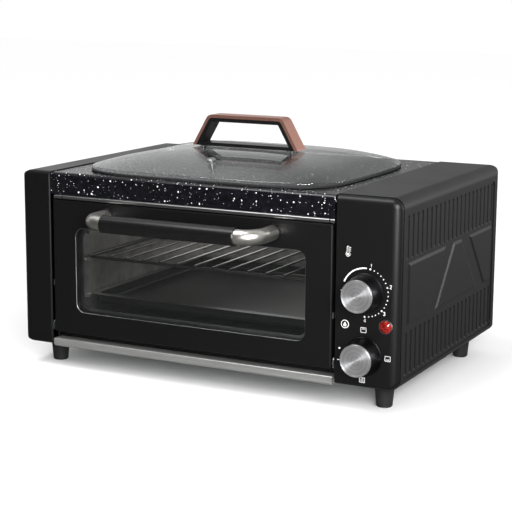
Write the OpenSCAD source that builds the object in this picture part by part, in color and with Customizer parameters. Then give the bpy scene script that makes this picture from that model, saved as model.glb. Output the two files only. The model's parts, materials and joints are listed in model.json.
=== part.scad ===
// Electric tandoor: a countertop grill oven with a drop-down glazed door, a cast
// grill plate on top and a lift-off domed glass lid.
// Lengths are in millimetres. X runs to the right, Y to the back and Z up; the
// table is z = 0 and the origin is under the middle of the bounding box.

/* [Body] */
// Width over both side covers
body_w = 430; // [400:5:480]
// Depth of the body without handle and cord gland
body_d = 285; // [265:5:320]
// Height of the top of the side covers above the table
body_h = 209.5; // [205:0.5:225]
// Height of the feet
foot_h = 23.5; // [18:0.5:28]
// Width of the left side cover
left_cover_w = 35; // [30:1:45]
// Width of the right cover that houses the controls
right_cover_w = 67.5; // [64:0.5:80]
// Thickness of the cover sheet
cover_t = 1.6; // [1.2:0.1:2.2]
// Radius of the long outer edges of the covers
cover_r = 11; // [6:1:14]
// Radius of the front and rear edges of the covers
cover_edge_r = 5; // [3:0.5:7]
// Thickness of the inner sheet metal
sheet_t = 1.2; // [0.8:0.1:1.6]
// Seam between the covers and the pieces between them
seam = 0.7; // [0.4:0.1:1.2]

/* [Side pressing] */
// Depth of the sunk field of each side
field_sink = 1.1; // [0.6:0.1:1.3]
// Vertical flutes in each row
flute_n = 21; // [12:1:24]
// Radius of the tool that presses a flute
flute_r = 3.2; // [2.6:0.1:3.6]
// Depth of a flute
flute_depth = 1.0; // [0.5:0.1:1.2]
// Length of a flute
flute_l = 39; // [30:1:42]
// Bore of the vent at the upper end of a flute
vent_d = 2.4; // [1.6:0.2:3]

/* [Grill plate] */
// Thickness of the cast plate
plate_t = 4; // [3:0.5:5]
// Height of the apron that hangs down at the front
apron_h = 23; // [18:1:26]
// Radius of the rolled front edge
apron_r = 5; // [3:0.5:6]
// Step of the plate below the tops of the covers
plate_drop = 1; // [0.5:0.5:2]
// Depth of the cooking field below the border
field_depth = 8; // [5:0.5:10]
// Width of the border between lid and cooking field
field_inset = 14; // [8:1:20]
// Spacing of the grill ribs
rib_pitch = 12; // [10:1:18]
// Width of a grill rib
rib_w = 3; // [2:0.5:4]
// Height of a grill rib
rib_h = 2.5; // [1.5:0.5:3.5]

/* [Lid] */
// Width of the lid
lid_w = 293; // [280:1:300]
// Depth of the lid
lid_d = 251; // [236:1:256]
// Distance of the lid's front edge behind the body's front
lid_front = 7.5; // [7:0.5:20]
// Shift of the lid and both handles to the right of the bay's middle
mid_shift = 1.2; // [0:0.1:2]
// Squareness of the lid's outline
lid_square = 4.7; // [3.5:0.1:6]
// Rise of the dome
lid_rise = 16; // [12:1:24]
// Thickness of the lid glass
lid_t = 4; // [3:0.5:5]
// Height of the rim seal
seal_h = 2; // [1.5:0.5:3]
// Width of the rim seal
seal_w = 5; // [4:0.5:7]
// Distance of the steam vent in front of the lid's middle
vent_y = 82; // [60:2:96]

/* [Lid handle] */
// Length of the handle at its foot
lh_foot_l = 126; // [100:2:140]
// Length of the handle at its top
lh_top_l = 88; // [70:2:96]
// Height of the handle
lh_h = 33.5; // [26:0.5:40]
// Width of the handle band
lh_w = 20; // [14:1:26]
// Thickness of the outer metal band
lh_band_t = 3.4; // [2:0.2:4]
// Thickness of the inner core
lh_core_t = 4; // [3:0.2:5]

/* [Door] */
// Gap on each side of the door
door_gap = 2.5; // [2.4:0.1:4]
// Height of the door's lower edge above the table
door_z = 38; // [37:0.5:42]
// Depth of the door
door_t = 12; // [12:0.5:14]
// Width of the window
window_w = 266; // [230:2:276]
// Height of the door's rail below the window
low_rail = 23.6; // [18:0.2:26]
// Height of the door's rail above the window
top_rail = 28.3; // [26.5:0.1:40]
// Corner radius of the window
window_r = 10; // [5:1:16]
// Thickness of the window glass
pane_t = 4; // [3:0.5:4]
// Bore of the hinge holes
hinge_d = 5; // [4:0.5:6]
// Mean radius of the curved check arms
arm_r = 48; // [40:1:52]

/* [Door handle] */
// Diameter of the chrome bar
bar_d = 15; // [12:0.5:16]
// Diameter of the black grip
grip_d = 18; // [16.5:0.5:22]
// Length of the grip
grip_l = 150; // [120:1:180]
// Bend radius of the bar
bend_r = 20; // [16:1:24]
// Distance from the door to the middle of the bar
standoff = 37.5; // [34:0.5:48]
// Distance of the bar below the door's upper edge
bar_drop = 13.8; // [12:0.2:15]

/* [Controls] */
// Distance of the knobs from the right side
knob_inset = 35.4; // [34:0.2:38]
// Height of the temperature knob above the table
temp_z = 117.6; // [112:0.2:124]
// Height of the mode knob above the table
mode_z = 55.5; // [52:0.5:60]
// Diameter of a knob at the panel
knob_d = 38; // [32:1:42]
// Diameter of a knob's metal cap
cap_d = 31.6; // [26:0.2:31.8]
// Height of a knob with its cap
knob_h = 22; // [18:1:26]
// Diameter of the control shafts
shaft_d = 6; // [5:0.5:7]
// Diameter of the indicator lamp's lens
lens_d = 12.4; // [10:0.2:12.8]

/* [Oven] */
// Space between the oven's rear wall and the rear panel
oven_gap = 11.6; // [8:0.2:40]
// Height of the oven floor above the table
oven_floor = 45; // [42:0.5:48]
// Thickness of the liner
liner_t = 0.8; // [0.6:0.1:1.2]
// Height at which the wire rack lies
rack_z = 117.5; // [105:0.5:125]
// Height at which the tray's rim lies
tray_z = 78; // [72:0.5:84]
// Depth of the tray
tray_h = 12; // [8:1:14]
// Spacing of the rack's cross wires
wire_pitch = 20.5; // [16:0.5:26]
// Diameter of the heating elements
element_d = 6.5; // [5:0.5:8]

/* [Hidden] */

$fn = 64;
eps = 0.01;
touch = 0.3;        // gap between pieces of different bodies at rest
fit = 0.05;         // radial play of a shaft or pin in its hole

// Depths are measured behind the front face of the body, then moved to the frame.
gland_out = 10;
reach_front = standoff + grip_d / 2;
front_y = -(reach_front + body_d + gland_out) / 2 + reach_front;

// The bay between the covers
bay_x0 = -body_w / 2 + left_cover_w;
bay_x1 = body_w / 2 - right_cover_w;
bay_cx = (bay_x0 + bay_x1) / 2;
bay_w = bay_x1 - bay_x0;
plate_top = body_h - plate_drop;
plate_under = plate_top - plate_t;
apron_z = plate_top - apron_h;
frame_y = door_t + 0.4;
frame_back = frame_y + sheet_t;
rear_y = body_d - 0.6 - sheet_t;

// Trim strip and sill
strip_h = 4;
strip_z = apron_z - touch - strip_h;
strip_r = 1.6;
strip_notch = 1;
left_cap_l = 10;
right_cap_l = 4.5;
sill_h = 9;
sill_z = foot_h - 1.5;
sill_proud = 1.2;
sill_corner = 3;

// Door
door_x0 = bay_x0 + door_gap;
door_x1 = bay_x1 - door_gap;
door_face = 0.5;
door_top = strip_z - 0.8;
door_h = door_top - door_z;
door_r = 2;
window_z0 = door_z + low_rail;
window_z1 = door_top - top_rail;
pane_y = 6.2;
pane_lap = 6;
lip_depth = pane_y - 0.2 - door_face;
hinge_y = 6;
hinge_z = door_z + sheet_t + hinge_d / 2 + 1.1;
heel_r = door_t - hinge_y;
arm_w = 6;
spring_wire = 0.8;
spring_r = hinge_d / 2 + 0.15 + spring_wire / 2;
spring_turns = 5;
spring_pitch = 1.3;
spring_leg = 14;
pin_in = sheet_t + 2.2 + spring_turns * spring_pitch + 1;
arm_start = -6;
arm_x0 = door_x0 - sheet_t;
grip_y = -standoff;
bar_z = door_top - bar_drop;
root_dx = grip_l / 2 + 1 + bend_r;
collar_d = 18;
collar_t = 1.6;
screw_d = 4;

// Oven
oven_x0 = bay_cx - window_w / 2;
oven_x1 = bay_cx + window_w / 2;
oven_back = rear_y - oven_gap;
oven_top = plate_under - field_depth - 6;
mouth_z0 = oven_floor + liner_t + 1;
mouth_z1 = door_top - 4;
ledge_w = 6;
liner_leg_in = 46;
liner_leg_w = 20;
ledge_t = 3;
spare_ledge = rack_z + 29;
upper_z = oven_top - element_d / 2 - 5;
lower_z = oven_floor + 13;
element_front = 70;
element_rear = 190;
element_ys = [frame_back + element_front, frame_back + element_rear];
element_out = 16;
insulator_d = 12;
insulator_l = 9;
rack_wire = 3;
cross_wire = 2.2;
tray_t = 1;
rack_y0 = frame_back + 5;
rack_y1 = oven_back - 8;

// Lid
mid_x = bay_cx + mid_shift;
lid_cx = mid_x;
lid_cy = lid_front + lid_d / 2;
seal_z = plate_top + touch;
glass_z = seal_z + seal_h;
lid_steps = 96;
lid_rings = 9;
lh_z = glass_z + lid_t + lid_rise + touch;
lh_r = 8;
lh_base_t = 3.5;
lh_screw_dx = lh_foot_l / 2 - 11;
vent_hole = 6;
field_w = lid_w - 2 * field_inset;
field_d = lid_d - 2 * field_inset;

// Controls
knob_x = body_w / 2 - knob_inset;
panel_x0 = bay_x1 + 0.5;
panel_depth = 6.5;
panel_seam = 0.3;
side_extra = 0.6;   // extra thickness of the covers' side walls
bracket_y = 8;
bracket_x1 = body_w / 2 - cover_t - side_extra - touch;
bracket_z0 = foot_h + cover_t + touch;
bracket_z1 = body_h - cover_t - touch;
bracket_r = cover_r - cover_t - touch;
control_y = bracket_y + sheet_t;
bush_d = 9;
knob_gap = 0.6;
cap_t = 2.6;
shaft_tip = knob_h - cap_t - 2;
capillary_d = 1.6;
bulb_d = 5;
bulb_y = frame_back + 120;
bulb_z = temp_z + 12;
lead_y = rear_y - 30;
lead_z = foot_h + 12;
lamp_x = body_w / 2 - 13.7;
lamp_z = (temp_z + mode_z) / 2;
bezel_d = lens_d + 1.8;
bezel_h = 1.2;
lamp_hole = lens_d + 0.6;
lens_stem = lens_d - 1.6;
lens_r = 8;
stat_w = 32;
stat_l = 20;
capillary_dx = 10;

// Feet
foot_top_d = 20;
foot_low_d = 16;
foot_dx = body_w / 2 - 25;
foot_y0 = 28.7;
foot_y1 = body_d - 38;
foot_screw_d = 4;

// Rear
gland_x = bay_x1 - 32;
gland_z = foot_h + 36;
gland_d = 16;
slot_l = 34;
slot_h = 3;
slot_pitch = 9;
slot_r = slot_h / 2 - 0.1;

black_paint = [0.07, 0.07, 0.075];
inner_steel = [0.55, 0.56, 0.57];
dark_steel = [0.3, 0.3, 0.31];
silver = [0.78, 0.78, 0.79];
copper = [0.55, 0.3, 0.24];
cast_black = [0.09, 0.08, 0.12];
rubber = [0.05, 0.05, 0.05];
clear = [0.8, 0.88, 0.9, 0.35];

// ---------------------------------------------------------------- shared shapes

// Everything is drawn with y = 0 on the body's front face
module on_front() {
    translate([0, front_y, 0]) children();
}

// Box from its lowest to its highest corner
module block(a, b) {
    translate(a) cube(b - a);
}

// Rectangle with its own radius at each corner, in the order
// low left, low right, high right, high left
module rect_radii(x0, x1, y0, y1, r) {
    centres = [[x0 + r[0], y0 + r[0]], [x1 - r[1], y0 + r[1]], [x1 - r[2], y1 - r[2]], [x0 + r[3], y1 - r[3]]];
    corners = [[x0, y0], [x1 - r[1], y0], [x1 - r[2], y1 - r[2]], [x0, y1 - r[3]]];
    difference() {
        translate([x0, y0]) square([x1 - x0, y1 - y0]);
        for (i = [0:3])
            if (r[i] > 0) translate(corners[i]) square(r[i]);
    }
    for (i = [0:3])
        if (r[i] > 0) translate(centres[i]) circle(r[i]);
}

// The same radius at all four corners
function all4(r) = [r, r, r, r];

// Rounded rectangle of x and z, carried along y
module plate_xz(x0, x1, z0, z1, r, y0, y1) {
    translate([0, y1, 0]) rotate([90, 0, 0]) linear_extrude(y1 - y0) rect_radii(x0, x1, z0, z1, r);
}

// Rounded rectangle of y and z, carried along x
module plate_yz(y0, y1, z0, z1, r, x0, x1) {
    translate([x0, 0, 0]) rotate([90, 0, 90]) linear_extrude(x1 - x0) rect_radii(y0, y1, z0, z1, r);
}

// Rounded rectangle of x and y, carried up z
module plate_xy(x0, x1, y0, y1, r, z0, z1) {
    translate([0, 0, z0]) linear_extrude(z1 - z0) rect_radii(x0, x1, y0, y1, r);
}

// Pressed block whose edges are rounded in all three views
module pressed(a, b, r_xz, r_yz, r_xy) {
    intersection() {
        plate_xz(a[0], b[0], a[2], b[2], r_xz, a[1], b[1]);
        plate_yz(a[1], b[1], a[2], b[2], r_yz, a[0], b[0]);
        plate_xy(a[0], b[0], a[1], b[1], r_xy, a[2], b[2]);
    }
}

// Cylinder along y from y0 to y1
module rod_y(d, x, z, y0, y1) {
    translate([x, y0, z]) rotate([-90, 0, 0]) cylinder(d = d, h = y1 - y0);
}

// Cylinder along x from x0 to x1
module rod_x(d, y, z, x0, x1) {
    translate([x0, y, z]) rotate([0, 90, 0]) cylinder(d = d, h = x1 - x0);
}

// Screw with a pan head, pointing along +z from under its head
module screw(d, l, head_d, head_h) {
    cylinder(d = d, h = l);
    translate([0, 0, -head_h]) cylinder(d1 = head_d * 0.8, d2 = head_d, h = head_h);
}

// Tube along a list of points: a ring of sides at each point, square to the path
function unit(v) = v / norm(v);
function path_dir(p, i) = unit(p[min(i + 1, len(p) - 1)] - p[max(i - 1, 0)]);
function ring_points(c, t, r, sides) =
    let (a = abs(t[2]) > 0.9 ? [1, 0, 0] : [0, 0, 1], u = unit(cross(a, t)), v = cross(t, u))
    [for (k = [0:sides - 1]) c + r * cos(360 * k / sides) * u + r * sin(360 * k / sides) * v];
module tube_along(p, r, sides) {
    n = len(p);
    pts = [for (i = [0:n - 1]) each ring_points(p[i], path_dir(p, i), r, sides)];
    walls = [for (i = [0:n - 2], k = [0:sides - 1])
        let (a = i * sides + k, b = i * sides + (k + 1) % sides)
        each [[a, a + sides, b], [b, a + sides, b + sides]]];
    ends = [[for (k = [0:sides - 1]) k], [for (k = [sides - 1:-1:0]) (n - 1) * sides + k]];
    polyhedron(pts, concat(walls, ends));
}

// ---------------------------------------------------------------- covers

// Raised pad with sloping walls on a side, from an outline of y and z
module pad(outline, side) {
    wall = 3;
    x = side * (body_w / 2 - field_sink);
    hull() {
        translate([x - eps, 0, 0]) rotate([90, 0, 90]) linear_extrude(eps) polygon(outline);
        translate([x + side * field_sink - (side > 0 ? eps : 0), 0, 0]) rotate([90, 0, 90])
            linear_extrude(eps) offset(delta = -wall) polygon(outline);
    }
}

field_y0 = 13;
field_y1 = body_d - field_y0;
field_z0 = foot_h + 9;
field_z1 = body_h - 16;
pad_z0 = field_z0 + flute_l + 13;
pad_z1 = field_z1 - flute_l - 9;
pad_lean = 51;
pad_gap = 22;
pad_mid_top = 24;
pad_y0 = field_y0 + 9;
pad_top_y = pad_y0 + 103;
left_pad = [[pad_y0, pad_z0], [pad_top_y - pad_lean, pad_z0], [pad_top_y, pad_z1], [pad_y0, pad_z1]];
mid_pad = [[pad_top_y - pad_lean + pad_gap, pad_z0],
    [pad_top_y + pad_gap + pad_mid_top + pad_lean, pad_z0],
    [pad_top_y + pad_gap + pad_mid_top, pad_z1], [pad_top_y + pad_gap, pad_z1]];
right_pad = [[pad_top_y + 2 * pad_gap + pad_mid_top + pad_lean, pad_z0], [field_y1 - 6, pad_z0],
    [field_y1 - 6, pad_z1], [pad_top_y + 2 * pad_gap + pad_mid_top, pad_z1]];

// One flute: a round groove with a spherical end, and its vent hole
module flute(y, z, side) {
    x = side * (body_w / 2 - field_sink + flute_r - flute_depth);
    translate([x, y, z]) {
        cylinder(r = flute_r, h = flute_l);
        sphere(r = flute_r);
        translate([0, 0, flute_l]) sphere(r = flute_r);
    }
    translate([side * (body_w / 2 - 8), y, z + flute_l]) rotate([0, side * 90, 0]) cylinder(d = vent_d, h = 10);
}

// The sunk field with its flutes, taken out of a side
module side_pressing(side) {
    pitch = (field_y1 - field_y0 - 16) / (flute_n - 1);
    x0 = side > 0 ? body_w / 2 - field_sink : -body_w / 2 - 1;
    difference() {
        plate_yz(field_y0, field_y1, field_z0, field_z1, all4(6), x0, x0 + field_sink + 1);
        pad(left_pad, side);
        pad(mid_pad, side);
        pad(right_pad, side);
    }
    for (i = [0:flute_n - 1], z = [field_z0 + 5, field_z1 - flute_l - 4])
        flute(field_y0 + 8 + i * pitch, z, side);
}

// Bosses inside a side cover that take the foot screws
module foot_bosses(side) {
    for (y = [foot_y0, foot_y1])
        translate([side * foot_dx, y, foot_h + cover_t - eps]) cylinder(d = 10, h = 8);
}

module foot_holes(side) {
    for (y = [foot_y0, foot_y1])
        translate([side * foot_dx, y, foot_h - 1]) cylinder(d = foot_screw_d, h = 12);
}

module left_cover() {
    a = [-body_w / 2, 0, foot_h];
    b = [bay_x0, body_d, body_h];
    inner_r = cover_r - cover_t;
    edge = cover_edge_r - cover_t;
    wall = [cover_t, cover_t, cover_t];
    color(black_paint) on_front() difference() {
        union() {
            difference() {
                pressed(a, b, [cover_r, 0, 0, cover_r], all4(cover_edge_r), [cover_edge_r, 2.5, 0, cover_edge_r]);
                pressed(a + wall + [side_extra, 0, 0], b - wall + [2 * cover_t, 0, 0], [inner_r, 0, 0, inner_r],
                    all4(edge), [edge, 0, 0, edge]);
            }
            foot_bosses(-1);
        }
        side_pressing(-1);
        foot_holes(-1);
    }
}

// Sheet round the controls, before it is parted into front cap and cover
module right_shell() {
    a = [panel_x0, 0, foot_h];
    b = [body_w / 2, body_d, body_h];
    inner_r = cover_r - cover_t;
    edge = cover_edge_r - cover_t;
    wall = [cover_t, cover_t, cover_t];
    difference() {
        pressed(a, b, [0, cover_r, cover_r, 0], all4(cover_edge_r), [0, cover_edge_r, cover_edge_r, 0]);
        pressed(a + wall - [2 * cover_t, 0, 0], b - wall - [side_extra, 0, 0], [0, inner_r, inner_r, 0],
            all4(edge), [0, edge, edge, 0]);
    }
}

module before(y) {
    block([panel_x0 - 1, -1, foot_h - 1], [body_w / 2 + 1, y, body_h + 1]);
}

module right_cover() {
    color(black_paint) on_front() difference() {
        union() {
            right_shell();
            foot_bosses(1);
        }
        before(panel_depth + panel_seam);
        side_pressing(1);
        foot_holes(1);
    }
}

module control_panel() {
    color(black_paint) on_front() difference() {
        intersection() {
            right_shell();
            before(panel_depth);
        }
        for (z = [temp_z, mode_z]) rod_y(bush_d + 1, knob_x, z, -1, cover_t + 1);
        rod_y(lamp_hole, lamp_x, lamp_z, -1, cover_t + 1);
    }
}

module control_bracket() {
    color(inner_steel) on_front() difference() {
        plate_xz(panel_x0, bracket_x1, bracket_z0, bracket_z1, [0, bracket_r, bracket_r, 0], bracket_y, control_y);
        for (z = [temp_z, mode_z]) rod_y(bush_d, knob_x, z, bracket_y - 1, control_y + 1);
        rod_y(lamp_hole, lamp_x, lamp_z, bracket_y - 1, control_y + 1);
        for (z = [temp_z, mode_z], s = [-1, 1])
            rod_y(3, knob_x + s * 12, z + s * 12, bracket_y - 1, control_y + 1);
        plate_xz(knob_x - 18, knob_x + 18, temp_z + 32, bracket_z1 - 18, all4(4), bracket_y - 1, control_y + 1);
    }
}

module rear_panel() {
    slots_x = [bay_cx - 85, bay_cx - 20, bay_cx + 45];
    color(black_paint) on_front() difference() {
        union() {
            block([bay_x0, rear_y, foot_h], [bay_x1, rear_y + sheet_t, plate_under]);
            block([bay_x0, rear_y - 9, plate_under - sheet_t], [bay_x1, rear_y, plate_under]);
        }
        for (x = slots_x, i = [0:6])
            plate_xz(x, x + slot_l, plate_under - 75 + i * slot_pitch, plate_under - 75 + i * slot_pitch + slot_h,
                all4(slot_r), rear_y - 1, rear_y + sheet_t + 1);
        rod_y(gland_d - 3, gland_x, gland_z, rear_y - 1, rear_y + sheet_t + 1);
        rear_screw_spots() rod_y(screw_d, 0, 0, rear_y - 1, rear_y + sheet_t + 1);
    }
}

module rear_screw_spots() {
    for (x = [bay_x0 + 12, bay_x1 - 12], z = [foot_h + 14, (foot_h + body_h) / 2, plate_under - 14])
        translate([x, 0, z]) children();
}

module rear_screws() {
    color(dark_steel) on_front() rear_screw_spots()
        translate([0, rear_y + sheet_t, 0]) rotate([90, 0, 0]) screw(screw_d, 8, 7, 0.5);
}

// ---------------------------------------------------------------- chassis

module base_pan() {
    flange = 9;
    color(dark_steel) on_front() difference() {
        union() {
            block([bay_x0, frame_back, foot_h], [bay_x1, rear_y, foot_h + sheet_t]);
            for (x = [bay_x0, bay_x1 - sheet_t])
                block([x, frame_back, foot_h], [x + sheet_t, rear_y, foot_h + flange]);
        }
        for (i = [-3:3], j = [0:2])
            plate_xy(bay_cx + i * 34 - slot_h / 2, bay_cx + i * 34 + slot_h / 2, body_d * 0.3 + j * 50,
                body_d * 0.3 + j * 50 + 30, all4(slot_r), foot_h - 1, foot_h + sheet_t + 1);
    }
}

// Inner wall beside the oven; x is its face towards the bay
module inner_wall(x, side) {
    x0 = side < 0 ? x - sheet_t : x;
    color(inner_steel) on_front() difference() {
        block([x0, frame_y, foot_h + cover_t + touch], [x0 + sheet_t, rear_y, plate_under]);
        for (y = element_ys, z = [upper_z, lower_z])
            rod_x(14, y, z, x0 - 1, x0 + sheet_t + 1);
        rod_x(4, bulb_y, bulb_z, x0 - 1, x0 + sheet_t + 1);
        rod_x(8, lead_y, lead_z, x0 - 1, x0 + sheet_t + 1);
    }
}

module left_inner_wall() {
    inner_wall(bay_x0, -1);
}

module right_inner_wall() {
    inner_wall(bay_x1, 1);
}

module front_frame() {
    slot_z = hinge_z + arm_r;
    color(black_paint) on_front() difference() {
        block([bay_x0, frame_y, foot_h + sheet_t + eps], [bay_x1, frame_back, plate_under]);
        plate_xz(oven_x0, oven_x1, mouth_z0, mouth_z1, all4(4), frame_y - 1, frame_back + 1);
        for (x = [bay_x0 - 1, bay_x1 - door_gap - 1])
            block([x, frame_y - 1, slot_z - arm_w - 2], [x + door_gap + 2, frame_back + 1, slot_z + arm_w + 1]);
    }
}

module front_sill() {
    x0 = bay_x0 + door_gap - 0.3;
    x1 = bay_x1 - seam;
    y0 = -sill_proud;
    color(silver) on_front() intersection() {
        difference() {
            plate_yz(y0, frame_y, sill_z, sill_z + sill_h, [3.5, 0, 0, 1.2], x0, x1);
            plate_yz(y0 + 2.4, frame_y - 2, sill_z - 1, sill_z + sill_h - 2, [0, 0, 1, 1], x0 - 1, x1 + 1);
            rod_x(0.8, y0 - 0.1, sill_z + 3.6, x0 - 1, x1 + 1);
        }
        plate_xz(x0, x1, sill_z, sill_z + sill_h, [sill_corner, 1, 0.5, 0.8], y0 - 1, frame_y + 1);
    }
}

module strip_piece(x0, x1) {
    on_front() plate_yz(-0.4, frame_y, strip_z, strip_z + strip_h, [strip_r, 0, 0, strip_r], x0, x1);
}

strip_x0 = bay_x0 + 5;
strip_x1 = bay_x1 - seam;

module trim_strip() {
    color(silver) strip_piece(strip_x0 + left_cap_l + strip_notch, strip_x1 - right_cap_l - strip_notch);
}

module trim_end_caps() {
    color(silver) {
        strip_piece(strip_x0, strip_x0 + left_cap_l);
        strip_piece(strip_x1 - right_cap_l, strip_x1);
    }
}

module foot(x, y) {
    color(rubber) on_front() translate([x, y, 0]) difference() {
        union() {
            cylinder(d = foot_low_d - 2, h = 1);
            translate([0, 0, 1]) cylinder(d1 = foot_low_d, d2 = foot_top_d, h = foot_h - 1);
        }
        translate([0, 0, -1]) cylinder(d = 8, h = 8);
        cylinder(d = foot_screw_d, h = foot_h + 1);
    }
}

module foot_front_left() {
    foot(-foot_dx, foot_y0);
}

module foot_front_right() {
    foot(foot_dx, foot_y0);
}

module foot_rear_left() {
    foot(-foot_dx, foot_y1);
}

module foot_rear_right() {
    foot(foot_dx, foot_y1);
}

module foot_screws() {
    color(dark_steel) on_front() for (x = [-foot_dx, foot_dx], y = [foot_y0, foot_y1])
        translate([x, y, 7]) screw(foot_screw_d, foot_h, 7.4, 2.4);
}

// ---------------------------------------------------------------- grill plate

function squircle(a, b, n, t) =
    [a * sign(cos(t)) * pow(abs(cos(t)), 2 / n), b * sign(sin(t)) * pow(abs(sin(t)), 2 / n)];
module squircle_2d(w, d) {
    polygon([for (i = [0:lid_steps - 1]) squircle(w / 2, d / 2, lid_square, 360 * i / lid_steps)]);
}

module grill_plate() {
    x0 = bay_x0 + seam;
    x1 = bay_x1 - seam;
    y0 = 0.8;
    y1 = rear_y + sheet_t;
    floor_z = plate_top - field_depth;
    rib_n = floor(field_w / 2 / rib_pitch);
    color(cast_black) on_front() difference() {
        union() {
            difference() {
                plate_yz(y0, y1, apron_z, plate_top, [1, 0, 2, apron_r], x0, x1);
                plate_yz(y0 + plate_t, y1 + 1, apron_z - 1, plate_under, [0, 0, 0, 2], x0 - 1, x1 + 1);
                translate([lid_cx, lid_cy, floor_z]) linear_extrude(field_depth + 1) squircle_2d(field_w, field_d);
            }
            translate([lid_cx, lid_cy, floor_z - plate_t]) linear_extrude(plate_t) squircle_2d(field_w + 6, field_d + 6);
            translate([lid_cx, lid_cy, floor_z - plate_t]) linear_extrude(field_depth) difference() {
                squircle_2d(field_w + 6, field_d + 6);
                squircle_2d(field_w, field_d);
            }
            translate([lid_cx, lid_cy, floor_z - eps]) linear_extrude(rib_h) intersection() {
                squircle_2d(field_w - 12, field_d - 12);
                for (i = [-rib_n:rib_n])
                    translate([i * rib_pitch - rib_w / 2, -field_d / 2]) square([rib_w, field_d]);
            }
            plate_screw_spots() translate([0, 0, plate_under - 6]) cylinder(d = 9, h = 6 + eps);
        }
        plate_screw_spots() translate([0, 0, plate_under - 7]) cylinder(d = screw_d, h = 8);
    }
}

module plate_screw_spots() {
    for (x = [bay_x0 + 14, bay_x1 - 14], y = [frame_back + 9, rear_y - 16])
        translate([x, y, 0]) children();
}

module plate_screws() {
    color(dark_steel) on_front() plate_screw_spots()
        translate([0, 0, plate_under - 8]) screw(screw_d, 9, 8, 2);
}

// ---------------------------------------------------------------- oven

module oven_liner() {
    color(inner_steel) on_front() difference() {
        union() {
            difference() {
                block([oven_x0 - liner_t, frame_back, oven_floor], [oven_x1 + liner_t, oven_back + liner_t, oven_top]);
                block([oven_x0, frame_back - 1, oven_floor + liner_t], [oven_x1, oven_back, oven_top + 1]);
            }
            for (z = [tray_z, rack_z, spare_ledge]) {
                block([oven_x0 - eps, frame_back + 4, z - ledge_t], [oven_x0 + ledge_w, oven_back - 6, z]);
                block([oven_x1 - ledge_w, frame_back + 4, z - ledge_t], [oven_x1 + eps, oven_back - 6, z]);
            }
            for (x = [oven_x0 - liner_t - 8, oven_x1])
                block([x, frame_back, oven_floor], [x + liner_t + 8, frame_back + liner_t, oven_top]);
            for (x = [oven_x0 - liner_t, oven_x1], y = [frame_back + liner_leg_in, oven_back - liner_leg_in - liner_leg_w])
                block([x, y, foot_h + sheet_t], [x + liner_t, y + liner_leg_w, oven_floor + eps]);
        }
        for (y = element_ys, z = [upper_z, lower_z]) {
            rod_x(insulator_d - 3, y, z, oven_x0 - 10, oven_x0 + 1);
            rod_x(insulator_d - 3, y, z, oven_x1 - 1, oven_x1 + 10);
        }
    }
}

module elements(z) {
    color(dark_steel) on_front() for (y = element_ys) {
        rod_x(element_d, y, z, oven_x0 - element_out, oven_x1 + element_out);
        for (x = [oven_x0 - element_out - 6, oven_x1 + element_out])
            rod_x(2.4, y, z, x, x + 6);
    }
}

module upper_heating_elements() {
    elements(upper_z);
}

module lower_heating_elements() {
    elements(lower_z);
}

// Ceramic bushes that carry the elements in the liner walls
module element_insulators() {
    color([0.9, 0.88, 0.82]) on_front() for (y = element_ys, z = [upper_z, lower_z], s = [-1, 1])
        translate([s < 0 ? oven_x0 - liner_t : oven_x1 + liner_t, y, z]) rotate([0, s * 90, 0]) difference() {
            union() {
                cylinder(d = insulator_d, h = insulator_l);
                translate([0, 0, -liner_t - 1]) cylinder(d = insulator_d - 3, h = liner_t + 1 + eps);
            }
            translate([0, 0, -liner_t - 2]) cylinder(d = element_d, h = insulator_l + liner_t + 3);
        }
}

module wire_rack() {
    x0 = oven_x0 + 2.5;
    x1 = oven_x1 - 2.5;
    z = rack_z + rack_wire / 2;
    rc = 8;
    n = floor((x1 - x0 - 2 * rc) / wire_pitch / 2);
    color(silver) on_front() {
        for (y = [rack_y0, rack_y1]) rod_x(rack_wire, y, z, x0 + rc, x1 - rc);
        for (x = [x0, x1]) rod_y(rack_wire, x, z, rack_y0 + rc, rack_y1 - rc);
        for (c = [[x0 + rc, rack_y0 + rc, 180], [x1 - rc, rack_y0 + rc, 270], [x1 - rc, rack_y1 - rc, 0],
                [x0 + rc, rack_y1 - rc, 90]])
            translate([c[0], c[1], z]) rotate([0, 0, c[2]]) rotate_extrude(angle = 90)
                translate([rc, 0]) circle(d = rack_wire);
        for (i = [-n:n])
            rod_y(cross_wire, oven_mid() + i * wire_pitch, z + (rack_wire + cross_wire) / 2 - 0.3,
                rack_y0 - 1.5, rack_y1 + 1.5);
    }
}

function oven_mid() = (oven_x0 + oven_x1) / 2;

module baking_tray() {
    x0 = oven_x0 + 2;
    x1 = oven_x1 - 2;
    lip = 7;
    low = tray_z + tray_t - tray_h;
    color(black_paint) on_front() difference() {
        union() {
            plate_xy(x0, x1, rack_y0, rack_y1, all4(9), tray_z, tray_z + tray_t);
            pressed([x0 + lip, rack_y0 + lip, low], [x1 - lip, rack_y1 - lip, tray_z + eps], [4, 4, 0, 0],
                [4, 4, 0, 0], all4(8));
        }
        pressed([x0 + lip + tray_t, rack_y0 + lip + tray_t, low + tray_t],
            [x1 - lip - tray_t, rack_y1 - lip - tray_t, tray_z + tray_t + 1], [3, 3, 0, 0], [3, 3, 0, 0],
            all4(7));
    }
}

// ---------------------------------------------------------------- door

module handle_holes(d, y0, y1) {
    for (s = [-1, 1]) rod_y(d, mid_x + s * root_dx, bar_z, y0, y1);
}

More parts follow.
